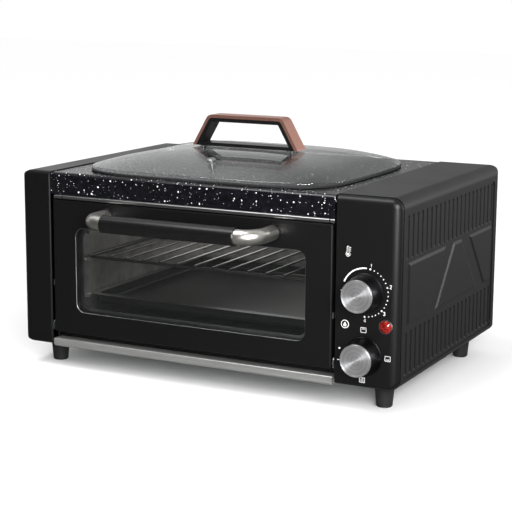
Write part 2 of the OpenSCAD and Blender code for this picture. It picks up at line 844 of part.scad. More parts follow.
module door_panel() {
    wx0 = bay_cx - window_w / 2;
    wx1 = bay_cx + window_w / 2;
    q = window_r + sheet_t;
    color(black_paint) on_front() difference() {
        union() {
            difference() {
                pressed([door_x0, door_face, door_z], [door_x1, door_t, door_top], all4(1),
                    [door_r, heel_r, 0, door_r], [door_r, door_r, 0, 0]);
                block([door_x0 + sheet_t, door_face + sheet_t, door_z + sheet_t],
                    [door_x1 - sheet_t, door_t + 1, door_top - sheet_t]);
            }
            plate_xz(wx0 - sheet_t, wx1 + sheet_t, window_z0 - sheet_t, window_z1 + sheet_t, all4(q),
                door_face + sheet_t - eps, door_face + lip_depth);
        }
        plate_xz(wx0, wx1, window_z0, window_z1, all4(window_r), -1, door_t + 2);
        handle_holes(screw_d, -1, door_face + sheet_t + 1);
        for (x = [door_x0 - 1, door_x1 - sheet_t - 1])
            rod_x(hinge_d, hinge_y, hinge_z, x, x + sheet_t + 2);
    }
}

module door_glass() {
    r = window_r;
    color(clear) on_front()
        plate_xz(bay_cx - window_w / 2 - pane_lap, bay_cx + window_w / 2 + pane_lap,
            window_z0 - pane_lap, window_z1 + pane_lap, all4(r),
            pane_y, pane_y + pane_t);
}

module door_inner_frame() {
    r = window_r;
    y0 = pane_y + pane_t + 0.2;
    z0 = hinge_z + 1;
    color(dark_steel) on_front() difference() {
        union() {
            block([door_x0 + sheet_t, y0, z0], [door_x1 - sheet_t, y0 + sheet_t, door_top - sheet_t]);
            for (z = [z0, door_top - 2 * sheet_t])
                block([door_x0 + 20, door_face + sheet_t, z], [door_x1 - 20, y0 + eps, z + sheet_t]);
        }
        plate_xz(bay_cx - window_w / 2 + 3, bay_cx + window_w / 2 - 3, window_z0 + 3, window_z1 - 3,
            all4(r), y0 - 1, y0 + sheet_t + 1);
        for (s = [-1, 1]) rod_y(10, mid_x + s * root_dx, bar_z, y0 - 1, y0 + sheet_t + 1);
    }
}

// Pins riveted in the door's side walls, long enough to carry the springs
module door_hinge_pins() {
    d = hinge_d - 2 * fit;
    rivet = sheet_t + 1.5;
    color(silver) on_front() {
        rod_x(d, hinge_y, hinge_z, bay_x0 + 0.2, door_x0 + pin_in);
        rod_x(d, hinge_y, hinge_z, door_x1 - pin_in, bay_x1 - 0.2);
        rod_x(d + 1.6, hinge_y, hinge_z, door_x0 + sheet_t, door_x0 + rivet);
        rod_x(d + 1.6, hinge_y, hinge_z, door_x1 - rivet, door_x1 - sheet_t);
    }
}

// Curved arm about the hinge line that slides through the frame as the door drops
module check_arm(x0) {
    translate([x0, hinge_y, hinge_z]) rotate([90, 0, 90]) linear_extrude(sheet_t) {
        intersection() {
            difference() {
                circle(arm_r + arm_w / 2);
                circle(arm_r - arm_w / 2);
            }
            polygon([[0, 0], [120 * cos(arm_start), 120 * sin(arm_start)], [120, 120], [0, 120]]);
        }
        translate([-4, arm_r - arm_w / 2]) square([4, arm_w]);
    }
}

module door_check_arms() {
    color(silver) on_front() {
        check_arm(arm_x0);
        check_arm(door_x1);
    }
}

// Plates beside the door in which the pins turn
module hinge_bracket(x0, leaf_x0) {
    difference() {
        union() {
            plate_yz(hinge_y - 5, frame_y, hinge_z - 5, hinge_z + 7, [4.9, 0, 0, 4.9], x0, x0 + sheet_t);
            block([leaf_x0, frame_y - sheet_t, hinge_z - 5], [leaf_x0 + 2.2, frame_y, hinge_z + 7]);
        }
        rod_x(hinge_d, hinge_y, hinge_z, x0 - 1, x0 + sheet_t + 1);
    }
}

module hinge_brackets() {
    color(silver) on_front() {
        hinge_bracket(bay_x0, bay_x0);
        hinge_bracket(bay_x1 - sheet_t, bay_x1 - 2.2);
    }
}

// Torsion springs on the pins; the free leg of each lies behind the door's front
module door_spring(x, side) {
    per_turn = 8;
    n = spring_turns * per_turn;
    coil = [for (i = [0:n]) [x + side * spring_pitch * i / per_turn, hinge_y - spring_r * cos(360 * i / per_turn),
        hinge_z - spring_r * sin(360 * i / per_turn)]];
    leg = [for (z = [spring_leg, spring_leg / 2]) [x, hinge_y - spring_r, hinge_z + z]];
    tube_along(concat(leg, coil), spring_wire / 2, 6);
}

module door_springs() {
    color(dark_steel) on_front() {
        door_spring(door_x0 + sheet_t + 2.2, 1);
        door_spring(door_x1 - sheet_t - 2.2, -1);
    }
}

// ---------------------------------------------------------------- door handle

module handle_leg(side) {
    x = mid_x + side * root_dx;
    rod_y(bar_d, x, bar_z, grip_y + bend_r, door_face - collar_t);
    translate([x - side * bend_r, grip_y + bend_r, bar_z])
        rotate([0, 0, side > 0 ? 270 : 180]) rotate_extrude(angle = 90) translate([bend_r, 0]) circle(d = bar_d);
}

module door_handle_bar() {
    color(silver) on_front() difference() {
        union() {
            rod_x(bar_d, grip_y, bar_z, mid_x - root_dx + bend_r, mid_x + root_dx - bend_r);
            handle_leg(-1);
            handle_leg(1);
        }
        handle_holes(screw_d, -16, door_face);
    }
}

module door_handle_grip() {
    color(rubber) on_front() difference() {
        rod_x(grip_d, grip_y, bar_z, mid_x - grip_l / 2, mid_x + grip_l / 2);
        rod_x(bar_d, grip_y, bar_z, mid_x - grip_l, mid_x + grip_l);
    }
}

module door_handle_collars() {
    color(silver) on_front() difference() {
        for (s = [-1, 1])
            translate([mid_x + s * root_dx, door_face, bar_z]) rotate([90, 0, 0])
                cylinder(d1 = collar_d, d2 = collar_d - 1.6, h = collar_t);
        handle_holes(screw_d, -10, door_t);
    }
}

module door_handle_screws() {
    color(dark_steel) on_front() for (s = [-1, 1])
        translate([mid_x + s * root_dx, door_face + sheet_t, bar_z]) rotate([90, 0, 0]) screw(screw_d, 16, 8, 2.4);
}

// ---------------------------------------------------------------- lid

// Height of the dome above its rim, at a share s of the way out
function dome(s) = lid_rise * (1 - pow(s, 3));
function dome_at(x) = dome(abs(x) / (lid_w / 2));

// The vent stands square to the glass, halfway through it
vent_share = vent_y / (lid_d / 2);
vent_tilt = atan(3 * lid_rise * pow(vent_share, 2) / (lid_d / 2));
module at_vent() {
    translate([lid_cx, lid_cy - vent_y, glass_z + lid_t / 2 + dome(vent_share)]) rotate([vent_tilt, 0, 0]) children();
}

module lid_glass() {
    n = lid_steps / 2;
    m = lid_rings;
    shares = [for (k = [1:m]) sin(90 * k / m)];
    sheet = function (lift) [for (s = shares, i = [0:n - 1])
        let (p = squircle(s * lid_w / 2, s * lid_d / 2, lid_square, 360 * (i + 0.5) / n))
        [p[0], p[1], glass_z + lift + dome(s)]];
    pts = concat(sheet(lid_t), sheet(0), [[0, 0, glass_z + lid_t + lid_rise], [0, 0, glass_z + lid_rise]]);
    low = n * m;
    top = 2 * n * m;
    faces = concat(
        [for (k = [0:m - 2], i = [0:n - 1]) let (a = k * n + i, b = k * n + (i + 1) % n)
            each [[a, b + n, b], [a, a + n, b + n], [low + a, low + b, low + b + n], [low + a, low + b + n, low + a + n]]],
        [for (i = [0:n - 1]) let (j = (i + 1) % n) each [[top, i, j], [top + 1, low + j, low + i]]],
        [for (i = [0:n - 1]) let (a = (m - 1) * n + i, b = (m - 1) * n + (i + 1) % n)
            each [[a, low + a, b], [b, low + a, low + b]]]);
    color(clear) on_front() difference() {
        translate([lid_cx, lid_cy, 0]) polyhedron(pts, faces);
        for (s = [-1, 1]) translate([lid_cx + s * lh_screw_dx, lid_cy, glass_z]) cylinder(d = 6, h = lid_rise + 10);
        at_vent() translate([0, 0, -10]) cylinder(d = vent_hole, h = 20);
    }
}

module lid_rim_seal() {
    color(rubber) on_front() translate([lid_cx, lid_cy, seal_z]) linear_extrude(seal_h) difference() {
        squircle_2d(lid_w, lid_d);
        squircle_2d(lid_w - 2 * seal_w, lid_d - 2 * seal_w);
    }
}

// Outline of the handle seen from the front, drawn in by a distance
module handle_outline(inset) {
    offset(delta = -inset) offset(r = lh_r, $fn = 32) offset(delta = -lh_r)
        polygon([[-lh_foot_l / 2, -lh_r - 2], [lh_foot_l / 2, -lh_r - 2], [lh_foot_l / 2, 0], [lh_top_l / 2, lh_h],
            [-lh_top_l / 2, lh_h], [-lh_foot_l / 2, 0]]);
}

module above_foot() {
    intersection() {
        children();
        translate([-lh_foot_l, 0]) square([2 * lh_foot_l, lh_h + 10]);
    }
}

module lid_handle_part() {
    on_front() translate([lid_cx, lid_cy + lh_w / 2, lh_z]) rotate([90, 0, 0]) linear_extrude(lh_w) above_foot() children();
}

module lid_handle_band() {
    color(copper) lid_handle_part() difference() {
        handle_outline(0);
        handle_outline(lh_band_t);
    }
}

module lid_handle_core() {
    color(rubber) difference() {
        lid_handle_part() difference() {
            handle_outline(lh_band_t);
            intersection() {
                handle_outline(lh_band_t + lh_core_t);
                translate([-lh_foot_l, lh_base_t]) square([2 * lh_foot_l, lh_h]);
            }
        }
        on_front() for (s = [-1, 1])
            translate([lid_cx + s * lh_screw_dx, lid_cy, lh_z - 1]) cylinder(d = screw_d, h = lh_base_t);
    }
}

washer_d = 14;
low_washer_d = 12;
washer_t = 1.5;
washer_top = glass_z + dome_at(lh_screw_dx + low_washer_d / 2) - 0.2;
module lid_handle_screws() {
    head_z = washer_top - washer_t;
    color(silver) on_front() for (s = [-1, 1])
        translate([lid_cx + s * lh_screw_dx, lid_cy, head_z]) screw(screw_d, lh_z - head_z + lh_base_t - 1, 9, 2.2);
}

// Silicone washers above and below the glass at each handle screw
module lid_handle_washers() {
    seat = glass_z + lid_t + dome_at(lh_screw_dx - washer_d / 2) + 0.05;
    color(rubber) on_front() for (s = [-1, 1]) translate([lid_cx + s * lh_screw_dx, lid_cy, 0]) difference() {
        union() {
            translate([0, 0, washer_top - washer_t]) cylinder(d = low_washer_d, h = washer_t);
            translate([0, 0, seat]) cylinder(d = washer_d, h = lh_z - seat);
        }
        translate([0, 0, washer_top - 3]) cylinder(d = screw_d, h = 20);
    }
}

module lid_steam_vent() {
    half = lid_t / 2 + 0.1;
    color(silver) on_front() at_vent() difference() {
        union() {
            translate([0, 0, half]) cylinder(d1 = 10, d2 = 7.5, h = 1.4);
            translate([0, 0, -half - 0.5]) cylinder(d = vent_hole - 2 * fit, h = 2 * half + 0.6);
            translate([0, 0, -half - 1]) cylinder(d = 9, h = 1);
        }
        translate([0, 0, -10]) cylinder(d = 3, h = 20);
    }
}

// ---------------------------------------------------------------- controls

module knob_body(z) {
    color(rubber) on_front() translate([knob_x, -knob_gap, z]) rotate([90, 0, 0]) difference() {
        union() {
            cylinder(d = knob_d, h = 1.6);
            translate([0, 0, 1.6]) cylinder(d1 = knob_d - 0.6, d2 = cap_d + 0.6, h = knob_h - cap_t - knob_gap - 2.2);
            translate([0, 0, knob_h - cap_t - knob_gap - 0.7]) cylinder(d = cap_d - 2, h = 0.7);
            translate([0, 0, 10]) cylinder(d = cap_d - 2, h = knob_h - cap_t - knob_gap - 10);
        }
        translate([0, 0, -1]) cylinder(d = shaft_d, h = shaft_tip + 1 - knob_gap);
        translate([0, 0, -1]) difference() {
            cylinder(d = knob_d - 6, h = 7);
            cylinder(d = shaft_d + 5, h = 8);
        }
    }
}

// Spun metal cap with a rounded rim
module knob_cap(z) {
    r = 0.8;
    color(silver) on_front() translate([knob_x, -knob_h + cap_t, z]) rotate([90, 0, 0]) rotate_extrude() {
        square([cap_d / 2 - r, cap_t]);
        square([cap_d / 2, cap_t - r]);
        translate([cap_d / 2 - r, cap_t - r]) circle(r);
    }
}

module temp_knob_body() {
    knob_body(temp_z);
}

module temp_knob_cap() {
    knob_cap(temp_z);
}

module mode_knob_body() {
    knob_body(mode_z);
}

module mode_knob_cap() {
    knob_cap(mode_z);
}

module control_shaft(z) {
    color(silver) on_front() rod_y(shaft_d - 2 * eps, knob_x, z, -shaft_tip, control_y + 8);
}

module temp_shaft() {
    control_shaft(temp_z);
}

module mode_shaft() {
    control_shaft(mode_z);
}

// Control with its bush through the bracket, a bore for the shaft, and its terminals
module rotary_control(z, body_l, wide) {
    difference() {
        union() {
            plate_xz(knob_x - wide / 2, knob_x + wide / 2, z - wide / 2, z + wide / 2, all4(3),
                control_y, control_y + body_l);
            rod_y(bush_d - 0.1, knob_x, z, 0.2, control_y + eps);
            for (s = [-1, 1])
                rod_y(2.9, knob_x + s * 12, z + s * 12, bracket_y - 1.2, control_y + eps);
        }
        rod_y(shaft_d + 2 * fit, knob_x, z, -1, control_y + 8.5);
    }
    for (x = [-8, 0, 8])
        block([knob_x + x - 2.2, control_y + body_l - eps, z - 0.4], [knob_x + x + 2.2, control_y + body_l + 8, z + 0.4]);
}

// The capillary runs back, through the inner wall, to the bulb clamped on the liner
module thermostat() {
    line_x = knob_x - capillary_dx;
    bulb_x = oven_x1 + liner_t + bulb_d / 2;
    color(inner_steel) on_front() {
        rotary_control(temp_z, stat_l, stat_w);
        rod_y(capillary_d, line_x, bulb_z, control_y + stat_l - eps, bulb_y);
        rod_x(capillary_d, bulb_y, bulb_z, bulb_x, line_x);
        translate([line_x, bulb_y, bulb_z]) sphere(d = capillary_d + 0.4);
        rod_y(bulb_d, bulb_x, bulb_z, bulb_y - 40, bulb_y + 10);
    }
}

module mode_switch() {
    color([0.85, 0.84, 0.8]) on_front() rotary_control(mode_z, 26, 34);
}

module lamp_bezel() {
    color(silver) on_front() translate([lamp_x, 0, lamp_z]) rotate([90, 0, 0]) difference() {
        union() {
            cylinder(d1 = bezel_d, d2 = bezel_d - 1, h = bezel_h);
            translate([0, 0, -7]) cylinder(d = lamp_hole - 2 * fit, h = 7 + eps);
        }
        translate([0, 0, -8]) cylinder(d = lens_stem, h = 11);
    }
}

// Shallow dome on a stem
module lamp_lens() {
    sink = sqrt(lens_r * lens_r - lens_d * lens_d / 4);
    color([0.75, 0.08, 0.06]) on_front() translate([lamp_x, 0, lamp_z]) rotate([90, 0, 0]) {
        translate([0, 0, -4]) cylinder(d = lens_stem, h = 4 + bezel_h + eps);
        translate([0, 0, bezel_h - sink]) intersection() {
            sphere(lens_r);
            translate([0, 0, sink]) cylinder(d = lens_d + 1, h = lens_r);
        }
    }
}

module neon_lamp() {
    color([0.8, 0.75, 0.7]) on_front() {
        rod_y(lens_stem - 0.4, lamp_x, lamp_z, 4.3, control_y + 14);
        for (s = [-1, 1]) rod_y(1, lamp_x + s * 2, lamp_z, control_y + 14 - eps, control_y + 22);
    }
}

// ---------------------------------------------------------------- mains side

terminal_pitch = 12;
terminal_w = 3 * terminal_pitch;
terminal_d = 16;
terminal_h = 14;
terminal_x0 = gland_x - terminal_w / 2;
terminal_y1 = rear_y - 6;
terminal_z0 = foot_h + sheet_t;
terminal_bore_z = terminal_z0 + 6;
module terminal_block() {
    a = [terminal_x0, terminal_y1 - terminal_d, terminal_z0];
    color([0.92, 0.92, 0.9]) on_front() difference() {
        block(a, a + [terminal_w, terminal_d, terminal_h]);
        for (i = [0:2]) {
            x = terminal_x0 + (i + 0.5) * terminal_pitch;
            rod_y(4, x, terminal_bore_z, a[1] - 1, terminal_y1 + 1);
            translate([x, terminal_y1 - terminal_d / 2, terminal_bore_z + 3]) cylinder(d = 5, h = terminal_h);
        }
    }
}

module cord_gland() {
    y = rear_y + sheet_t;
    color(rubber) on_front() difference() {
        union() {
            rod_y(gland_d - 3 - 2 * fit, gland_x, gland_z, rear_y - 3, y + 1);
            rod_y(gland_d, gland_x, gland_z, y, y + 3);
            translate([gland_x, y + 3, gland_z]) rotate([-90, 0, 0])
                cylinder(d1 = gland_d - 2, d2 = gland_d - 5, h = body_d + gland_out - y - 3);
            rod_y(gland_d, gland_x, gland_z, rear_y - 4, rear_y - 0.1);
        }
        rod_y(7.5, gland_x, gland_z, rear_y - 5, body_d + gland_out + 1);
    }
}

// Insulated leads between the terminal block, the controls and the lamp
wire_d = 2.4;
lead_x = bay_x1 + sheet_t + 7;
module lead(points) {
    tube_along(points, wire_d / 2, 8);
}

module internal_wiring() {
    entry = [terminal_x0 + 2.5 * terminal_pitch, terminal_y1 - terminal_d, terminal_bore_z];
    switch_y = control_y + 34;
    stat_y = control_y + stat_l + 8;
    lamp_y = control_y + 22;
    color([0.75, 0.1, 0.08]) on_front() {
        lead([[knob_x - 8, switch_y, mode_z], [knob_x - 8, switch_y + 8, mode_z], [lead_x + 6, switch_y + 30, mode_z - 8],
            [lead_x, switch_y + 70, lead_z + 4], [lead_x, lead_y - 30, lead_z], [lead_x - 1, lead_y - 10, lead_z],
            [bay_x1 + 0.6, lead_y, lead_z], [bay_x1 - 8, lead_y, lead_z - 1.5], entry + [4, -7, 1.2],
            entry + [0, -3.5, 0], entry + [0, 6, 0]]);
        lead([[knob_x + 8, switch_y, mode_z], [knob_x + 8, switch_y + 8, mode_z + 4],
            [knob_x + 10, switch_y + 12, mode_z + 20], [knob_x + 8, switch_y + 8, temp_z - 16],
            [knob_x + 8, stat_y + 6, temp_z - 2], [knob_x + 8, stat_y, temp_z]]);
        lead([[lamp_x - 2, lamp_y, lamp_z], [lamp_x - 2, lamp_y + 5, lamp_z], [lamp_x - 4, switch_y + 4, lamp_z - 6],
            [knob_x + 12, switch_y + 10, mode_z + 8], [knob_x + 11, switch_y + 11, mode_z + 6]]);
    }
}

base_pan();
left_cover();
right_cover();
control_panel();
rear_panel();
left_inner_wall();
right_inner_wall();
front_frame();
oven_liner();
front_sill();
trim_strip();
trim_end_caps();
grill_plate();
foot_front_left();
foot_front_right();
foot_rear_left();
foot_rear_right();
foot_screws();
rear_screws();
plate_screws();
upper_heating_elements();
lower_heating_elements();
element_insulators();
wire_rack();
baking_tray();
door_panel();
door_glass();
door_inner_frame();
door_hinge_pins();
door_check_arms();
hinge_brackets();
door_springs();
door_handle_bar();
door_handle_grip();
door_handle_collars();
door_handle_screws();
lid_glass();
lid_rim_seal();
lid_handle_band();
lid_handle_core();
lid_handle_screws();
lid_handle_washers();
lid_steam_vent();
temp_knob_body();
temp_knob_cap();
temp_shaft();
thermostat();
mode_knob_body();
mode_knob_cap();
mode_shaft();
mode_switch();
control_bracket();
lamp_bezel();
lamp_lens();
neon_lamp();
terminal_block();
cord_gland();
internal_wiring();
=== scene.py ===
"""Looks of a countertop electric tandoor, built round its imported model.

Lengths here are metres, and the frame is the model's: X to the right, Y to the back, Z up, the table at 0.
Run as a script it makes the stage, finishes every part of the model and adds the pieces with smooth forms.
"""

import functools
import json
import math

import bpy
import numpy as np
from bpy.props import FloatProperty, FloatVectorProperty, PointerProperty
from bpy.types import Operator, Panel, PropertyGroup
from mathutils import Euler, Matrix, Vector


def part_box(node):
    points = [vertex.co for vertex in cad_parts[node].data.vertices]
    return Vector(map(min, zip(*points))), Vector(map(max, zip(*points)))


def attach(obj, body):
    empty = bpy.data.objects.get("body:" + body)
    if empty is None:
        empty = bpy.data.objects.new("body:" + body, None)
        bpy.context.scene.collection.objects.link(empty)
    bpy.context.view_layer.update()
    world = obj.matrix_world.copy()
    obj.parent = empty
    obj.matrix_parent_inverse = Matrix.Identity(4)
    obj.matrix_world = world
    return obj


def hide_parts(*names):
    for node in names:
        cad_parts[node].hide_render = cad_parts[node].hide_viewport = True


bl_info = {
    "name": "Electric Tandoor",
    "version": (1, 0, 0),
    "blender": (4, 5, 0),
    "location": "View3D > Sidebar > Tandoor",
    "description": "Finishes and smooth pieces of a countertop electric tandoor",
    "category": "Object",
}

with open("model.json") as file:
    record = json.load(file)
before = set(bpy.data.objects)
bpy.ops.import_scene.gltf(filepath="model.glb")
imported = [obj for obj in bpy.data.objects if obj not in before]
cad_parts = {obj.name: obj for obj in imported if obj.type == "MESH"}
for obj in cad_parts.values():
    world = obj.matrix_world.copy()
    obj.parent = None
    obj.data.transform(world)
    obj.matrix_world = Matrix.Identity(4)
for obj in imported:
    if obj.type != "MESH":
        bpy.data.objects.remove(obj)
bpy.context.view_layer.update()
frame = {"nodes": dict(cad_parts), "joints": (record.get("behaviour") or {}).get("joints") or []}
JOINTS = {joint["name"]: joint for joint in frame["joints"]}
FRONT_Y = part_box("left_cover")[0].y
PANEL_LOW, PANEL_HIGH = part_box("control_panel")
# Left, right, low and high edge of the window that is pressed into the door
WINDOW = (-0.14925, 0.11675, 0.0616, 0.1521)
# The photograph's camera: its lens in mm, its place, and its yaw, tilt and roll in degrees
CAMERA_LENS = 104.06
CAMERA_PLACE = (0.71445, -1.26464 + FRONT_Y, 0.41673)
CAMERA_TURN = (27.25, 79.07, 0.33)


# ---------------------------------------------------------------- colours and nodes

def hex_rgb(code, share=1.0):
    """A share of the linear colour, with full alpha, of an sRGB hex value such as #2a2b2d."""
    parts = [int(code[i:i + 2], 16) / 255 for i in (1, 3, 5)]
    linear = [c / 12.92 if c <= 0.04045 else ((c + 0.055) / 1.055) ** 2.4 for c in parts]
    return tuple(c * share for c in linear) + (1.0,)


def add(tree, kind, inputs=(), **settings):
    """Adds a node, sets its properties, and fills its inputs with values or with links."""
    node = tree.nodes.new(kind)
    for name, value in settings.items():
        setattr(node, name, value)
    for name, value in dict(inputs).items():
        if isinstance(value, bpy.types.NodeSocket):
            tree.links.new(value, node.inputs[name])
        else:
            node.inputs[name].default_value = value
    return node


def new_material(name):
    """An empty material and its tree."""
    material = bpy.data.materials.new(name)
    material.use_nodes = True
    material.node_tree.nodes.clear()
    return material, material.node_tree


def surfaced(material, shader):
    """The material, with the shader on its surface."""
    add(material.node_tree, "ShaderNodeOutputMaterial", {"Surface": shader.outputs[0]})
    return material


def finished(material, inputs):
    """The material, with a principled surface of these inputs."""
    return surfaced(material, add(material.node_tree, "ShaderNodeBsdfPrincipled", inputs))


def ramp(tree, value, stops):
    """A colour ramp over value, from a list of (place, colour)."""
    node = add(tree, "ShaderNodeValToRGB", {"Fac": value})
    band = node.color_ramp
    while len(band.elements) < len(stops):
        band.elements.new(0.5)
    for element, (place, colour) in zip(band.elements, stops):
        element.position = place
        element.color = colour
    return node.outputs["Color"]


def stretched(tree, scale):
    """Object coordinates in which one unit is 1/scale metres along each axis."""
    place = add(tree, "ShaderNodeTexCoord").outputs["Object"]
    return add(tree, "ShaderNodeMapping", {"Vector": place, "Scale": scale}).outputs["Vector"]


def noise(tree, scale, **inputs):
    """Noise from 0 to 1, with grains of 1/scale metres along each axis."""
    node = add(tree, "ShaderNodeTexNoise", {"Vector": stretched(tree, scale), "Scale": 1.0, **inputs})
    return node.outputs["Fac"]


def spread(tree, value, low, high):
    """A value from 0 to 1 laid over low to high."""
    return add(tree, "ShaderNodeMapRange", {"Value": value, "To Min": low, "To Max": high}).outputs["Result"]


def bumps(tree, height, strength, depth):
    """The normal of a surface that height raises by up to depth metres."""
    node = add(tree, "ShaderNodeBump", {"Height": height, "Strength": strength, "Distance": depth})
    return node.outputs["Normal"]


# ---------------------------------------------------------------- materials

def satin_paint(name="satin_black_paint", colour="#09090a", roughness=0.38, specular=0.28):
    """Powder paint on pressed steel: a soft sheen over an orange peel of 1 mm, which broadens highlights."""
    material, tree = new_material(name)
    cloud = noise(tree, (14, 14, 14), Detail=3.0)
    return finished(material, {
        "Base Color": hex_rgb(colour), "Specular IOR Level": specular,
        "Roughness": spread(tree, cloud, roughness - 0.05, roughness + 0.06),
        "Normal": bumps(tree, noise(tree, (900, 900, 900)), 0.06, 0.0002)})


def speckled_nonstick():
    """Sprayed non-stick enamel on cast aluminium: blue-black, with white flecks up to 2 mm wide.

    The plate is unrolled, X against Y + Z, so flecks keep their shape on its top and its apron. Each cell of
    a layer holds one fleck at most, and noise frays its rim.
    """
    material, tree = new_material("speckled_nonstick")
    at = add(tree, "ShaderNodeSeparateXYZ", {"Vector": stretched(tree, (1, 1, 1))})
    unrolled = add(tree, "ShaderNodeMath", {0: at.outputs["Y"], 1: at.outputs["Z"]}, operation="ADD")
    flat = add(tree, "ShaderNodeCombineXYZ", {"X": at.outputs["X"], "Y": unrolled.outputs["Value"]})
    place = flat.outputs["Vector"]
    wobble = add(tree, "ShaderNodeTexNoise", {"Vector": place, "Scale": 900.0, "Detail": 1.0})
    shift = add(tree, "ShaderNodeVectorMath", {0: wobble.outputs["Color"], 1: (0.0008, 0.0008, 0.0)},
                operation="MULTIPLY")
    moved = add(tree, "ShaderNodeVectorMath", {0: place, 1: shift.outputs["Vector"]}, operation="ADD")
    # Cells per metre, largest radius as a share of a cell, and share of the cells that hold a fleck
    mask = None
    for cells, largest, share in ((125.0, 0.11, 0.6), (190.0, 0.11, 0.3), (300.0, 0.12, 0.2)):
        spots = add(tree, "ShaderNodeTexVoronoi", {"Vector": moved.outputs["Vector"], "Scale": cells},
                    voronoi_dimensions="2D")
        chance = add(tree, "ShaderNodeSeparateColor", {"Color": spots.outputs["Color"]})
        size = add(tree, "ShaderNodeMapRange", {"Value": chance.outputs["Red"], "From Min": 1 - share,
                                                "From Max": 1.0, "To Min": 0.0, "To Max": largest})
        edge = add(tree, "ShaderNodeMath", {0: size.outputs["Result"], 1: spots.outputs["Distance"]},
                   operation="SUBTRACT")
        layer = add(tree, "ShaderNodeMapRange", {"Value": edge.outputs["Value"], "From Min": 0.0,
                                                 "From Max": 0.025}).outputs["Result"]
        mask = layer if mask is None else add(tree, "ShaderNodeMath", {0: mask, 1: layer},
                                              operation="MAXIMUM").outputs["Value"]
    tone = add(tree, "ShaderNodeTexNoise", {"Vector": place, "Scale": 160.0, "Detail": 2.0})
    ground = ramp(tree, tone.outputs["Fac"], [(0.35, hex_rgb("#030305")), (0.75, hex_rgb("#0e0d14"))])
    colour = add(tree, "ShaderNodeMix", {"Factor": mask, "A": ground, "B": hex_rgb("#f4f4f6")},
                 data_type="RGBA")
    return finished(material, {
        "Base Color": colour.outputs["Result"], "Roughness": 0.26, "Specular IOR Level": 0.4,
        "Normal": bumps(tree, mask, 0.25, 0.0001)})


def plain_enamel():
    """Vitreous enamel on the baking tray: near black, smooth and fairly glossy."""
    return satin_paint("black_tray_enamel", "#101011", 0.3, 0.4)


def chrome(name, colour, least, most):
    """Nickel-chrome plating: a mirror, sharp or blurred, with a slight cloud from handling."""
    material, tree = new_material(name)
    cloud = noise(tree, (60, 60, 60), Detail=3.0)
    shade = ramp(tree, cloud, [(0.2, hex_rgb(colour, 0.9)), (0.7, hex_rgb(colour))])
    return finished(material, {"Base Color": shade, "Metallic": 1.0,
                               "Roughness": spread(tree, cloud, least, most)})


def polished_chrome():
    """Bright chrome of the lamp's ring."""
    return chrome("polished_chrome", "#c9c8c6", 0.09, 0.2)


def brushed_metal(name, colour, roughness, strength, scale, metallic=1.0):
    """Ground metal: fine lines along the axis of least scale, which widen its highlights across them."""
    material, tree = new_material(name)
    lines = noise(tree, scale, Detail=3.0, Roughness=0.6)
    shade = ramp(tree, lines, [(0.3, hex_rgb(colour, 0.82)), (0.7, hex_rgb(colour))])
    return finished(material, {
        "Base Color": shade, "Metallic": metallic, "Normal": bumps(tree, lines, strength, 0.0001),
        "Roughness": spread(tree, lines, roughness - 0.07, roughness + 0.09)})


def satin_chrome():
    """Satin nickel of the handle bar and of the window's bead, which stands in for a painted highlight on the
    black edge: a blurred mirror with soft highlights.
    """
    return chrome("satin_chrome", "#d6d4ce", 0.3, 0.38)


def satin_stainless():
    """Stainless sill ground along its length; lines 0.4 mm wide are as fine as the picture shows."""
    return brushed_metal("satin_stainless", "#cfcfcd", 0.32, 0.15, (12, 2500, 2500), 0.86)


def brushed_trim():
    """Darker stainless of the thin strip over the door, ground along its length."""
    return brushed_metal("brushed_trim", "#a8a8a8", 0.3, 0.1, (12, 1500, 1500))


def rose_gold():
    """Rose-gold coating over blasted steel: grains of 1 to 3 mm, as fine as the picture shows."""
    return brushed_metal("brushed_rose_gold", "#bd8b7c", 0.34, 0.3, (300, 900, 300), 0.9)


def spun_aluminium():
    """A spun aluminium cap: its rings throw wedge-shaped highlights from the middle out."""
    material, tree = new_material("spun_aluminium")
    rings_at = add(tree, "ShaderNodeUVMap", uv_map="turned")
    across = add(tree, "ShaderNodeSeparateXYZ", {"Vector": rings_at.outputs["UV"]})
    rings = add(tree, "ShaderNodeTexNoise", {"W": across.outputs["Y"], "Scale": 90.0, "Detail": 2.0},
                noise_dimensions="1D")
    colour = ramp(tree, rings.outputs["Fac"], [(0.3, hex_rgb("#8e8e8f")), (0.7, hex_rgb("#b2b2b3"))])
    tangent = add(tree, "ShaderNodeTangent", direction_type="UV_MAP", uv_map="turned")
    return finished(material, {
        "Base Color": colour, "Metallic": 0.82, "Roughness": 0.4, "Anisotropic": 0.85,
        "Anisotropic Rotation": 0.25, "Normal": bumps(tree, rings.outputs["Fac"], 0.06, 0.0001),
        "Tangent": tangent.outputs["Tangent"]})


def moulded_plastic(name="moulded_phenolic", colour="#151516", roughness=0.45):
    """Compression-moulded phenolic: even black with a spark-eroded grain of 0.7 mm."""
    material, tree = new_material(name)
    cloud = noise(tree, (30, 30, 30))
    return finished(material, {
        "Base Color": hex_rgb(colour), "Specular IOR Level": 0.4,
        "Roughness": spread(tree, cloud, roughness - 0.06, roughness + 0.06),
        "Normal": bumps(tree, noise(tree, (1400, 1400, 1400)), 0.12, 0.0002)})


def glossy_plastic():
    """Phenolic of the grips, polished by hands: deep black under a clear sheen."""
    return moulded_plastic("polished_phenolic", "#0b0b0b", 0.3)


def black_rubber():
    """Moulded rubber: dull and slightly dusty."""
    return moulded_plastic("moulded_rubber", "#141414", 0.7)


def white_nylon():
    """Moulded white nylon of the hidden electrical pieces."""
    return moulded_plastic("white_nylon", "#d9d8d2", 0.5)


def steatite():
    """Fired steatite: cream, with a soft glaze."""
    return moulded_plastic("glazed_steatite", "#d8d0bf", 0.3)


def silicone_lead():
    """Silicone sleeve on the leads."""
    return moulded_plastic("silicone_lead", "#8f2a22", 0.55)


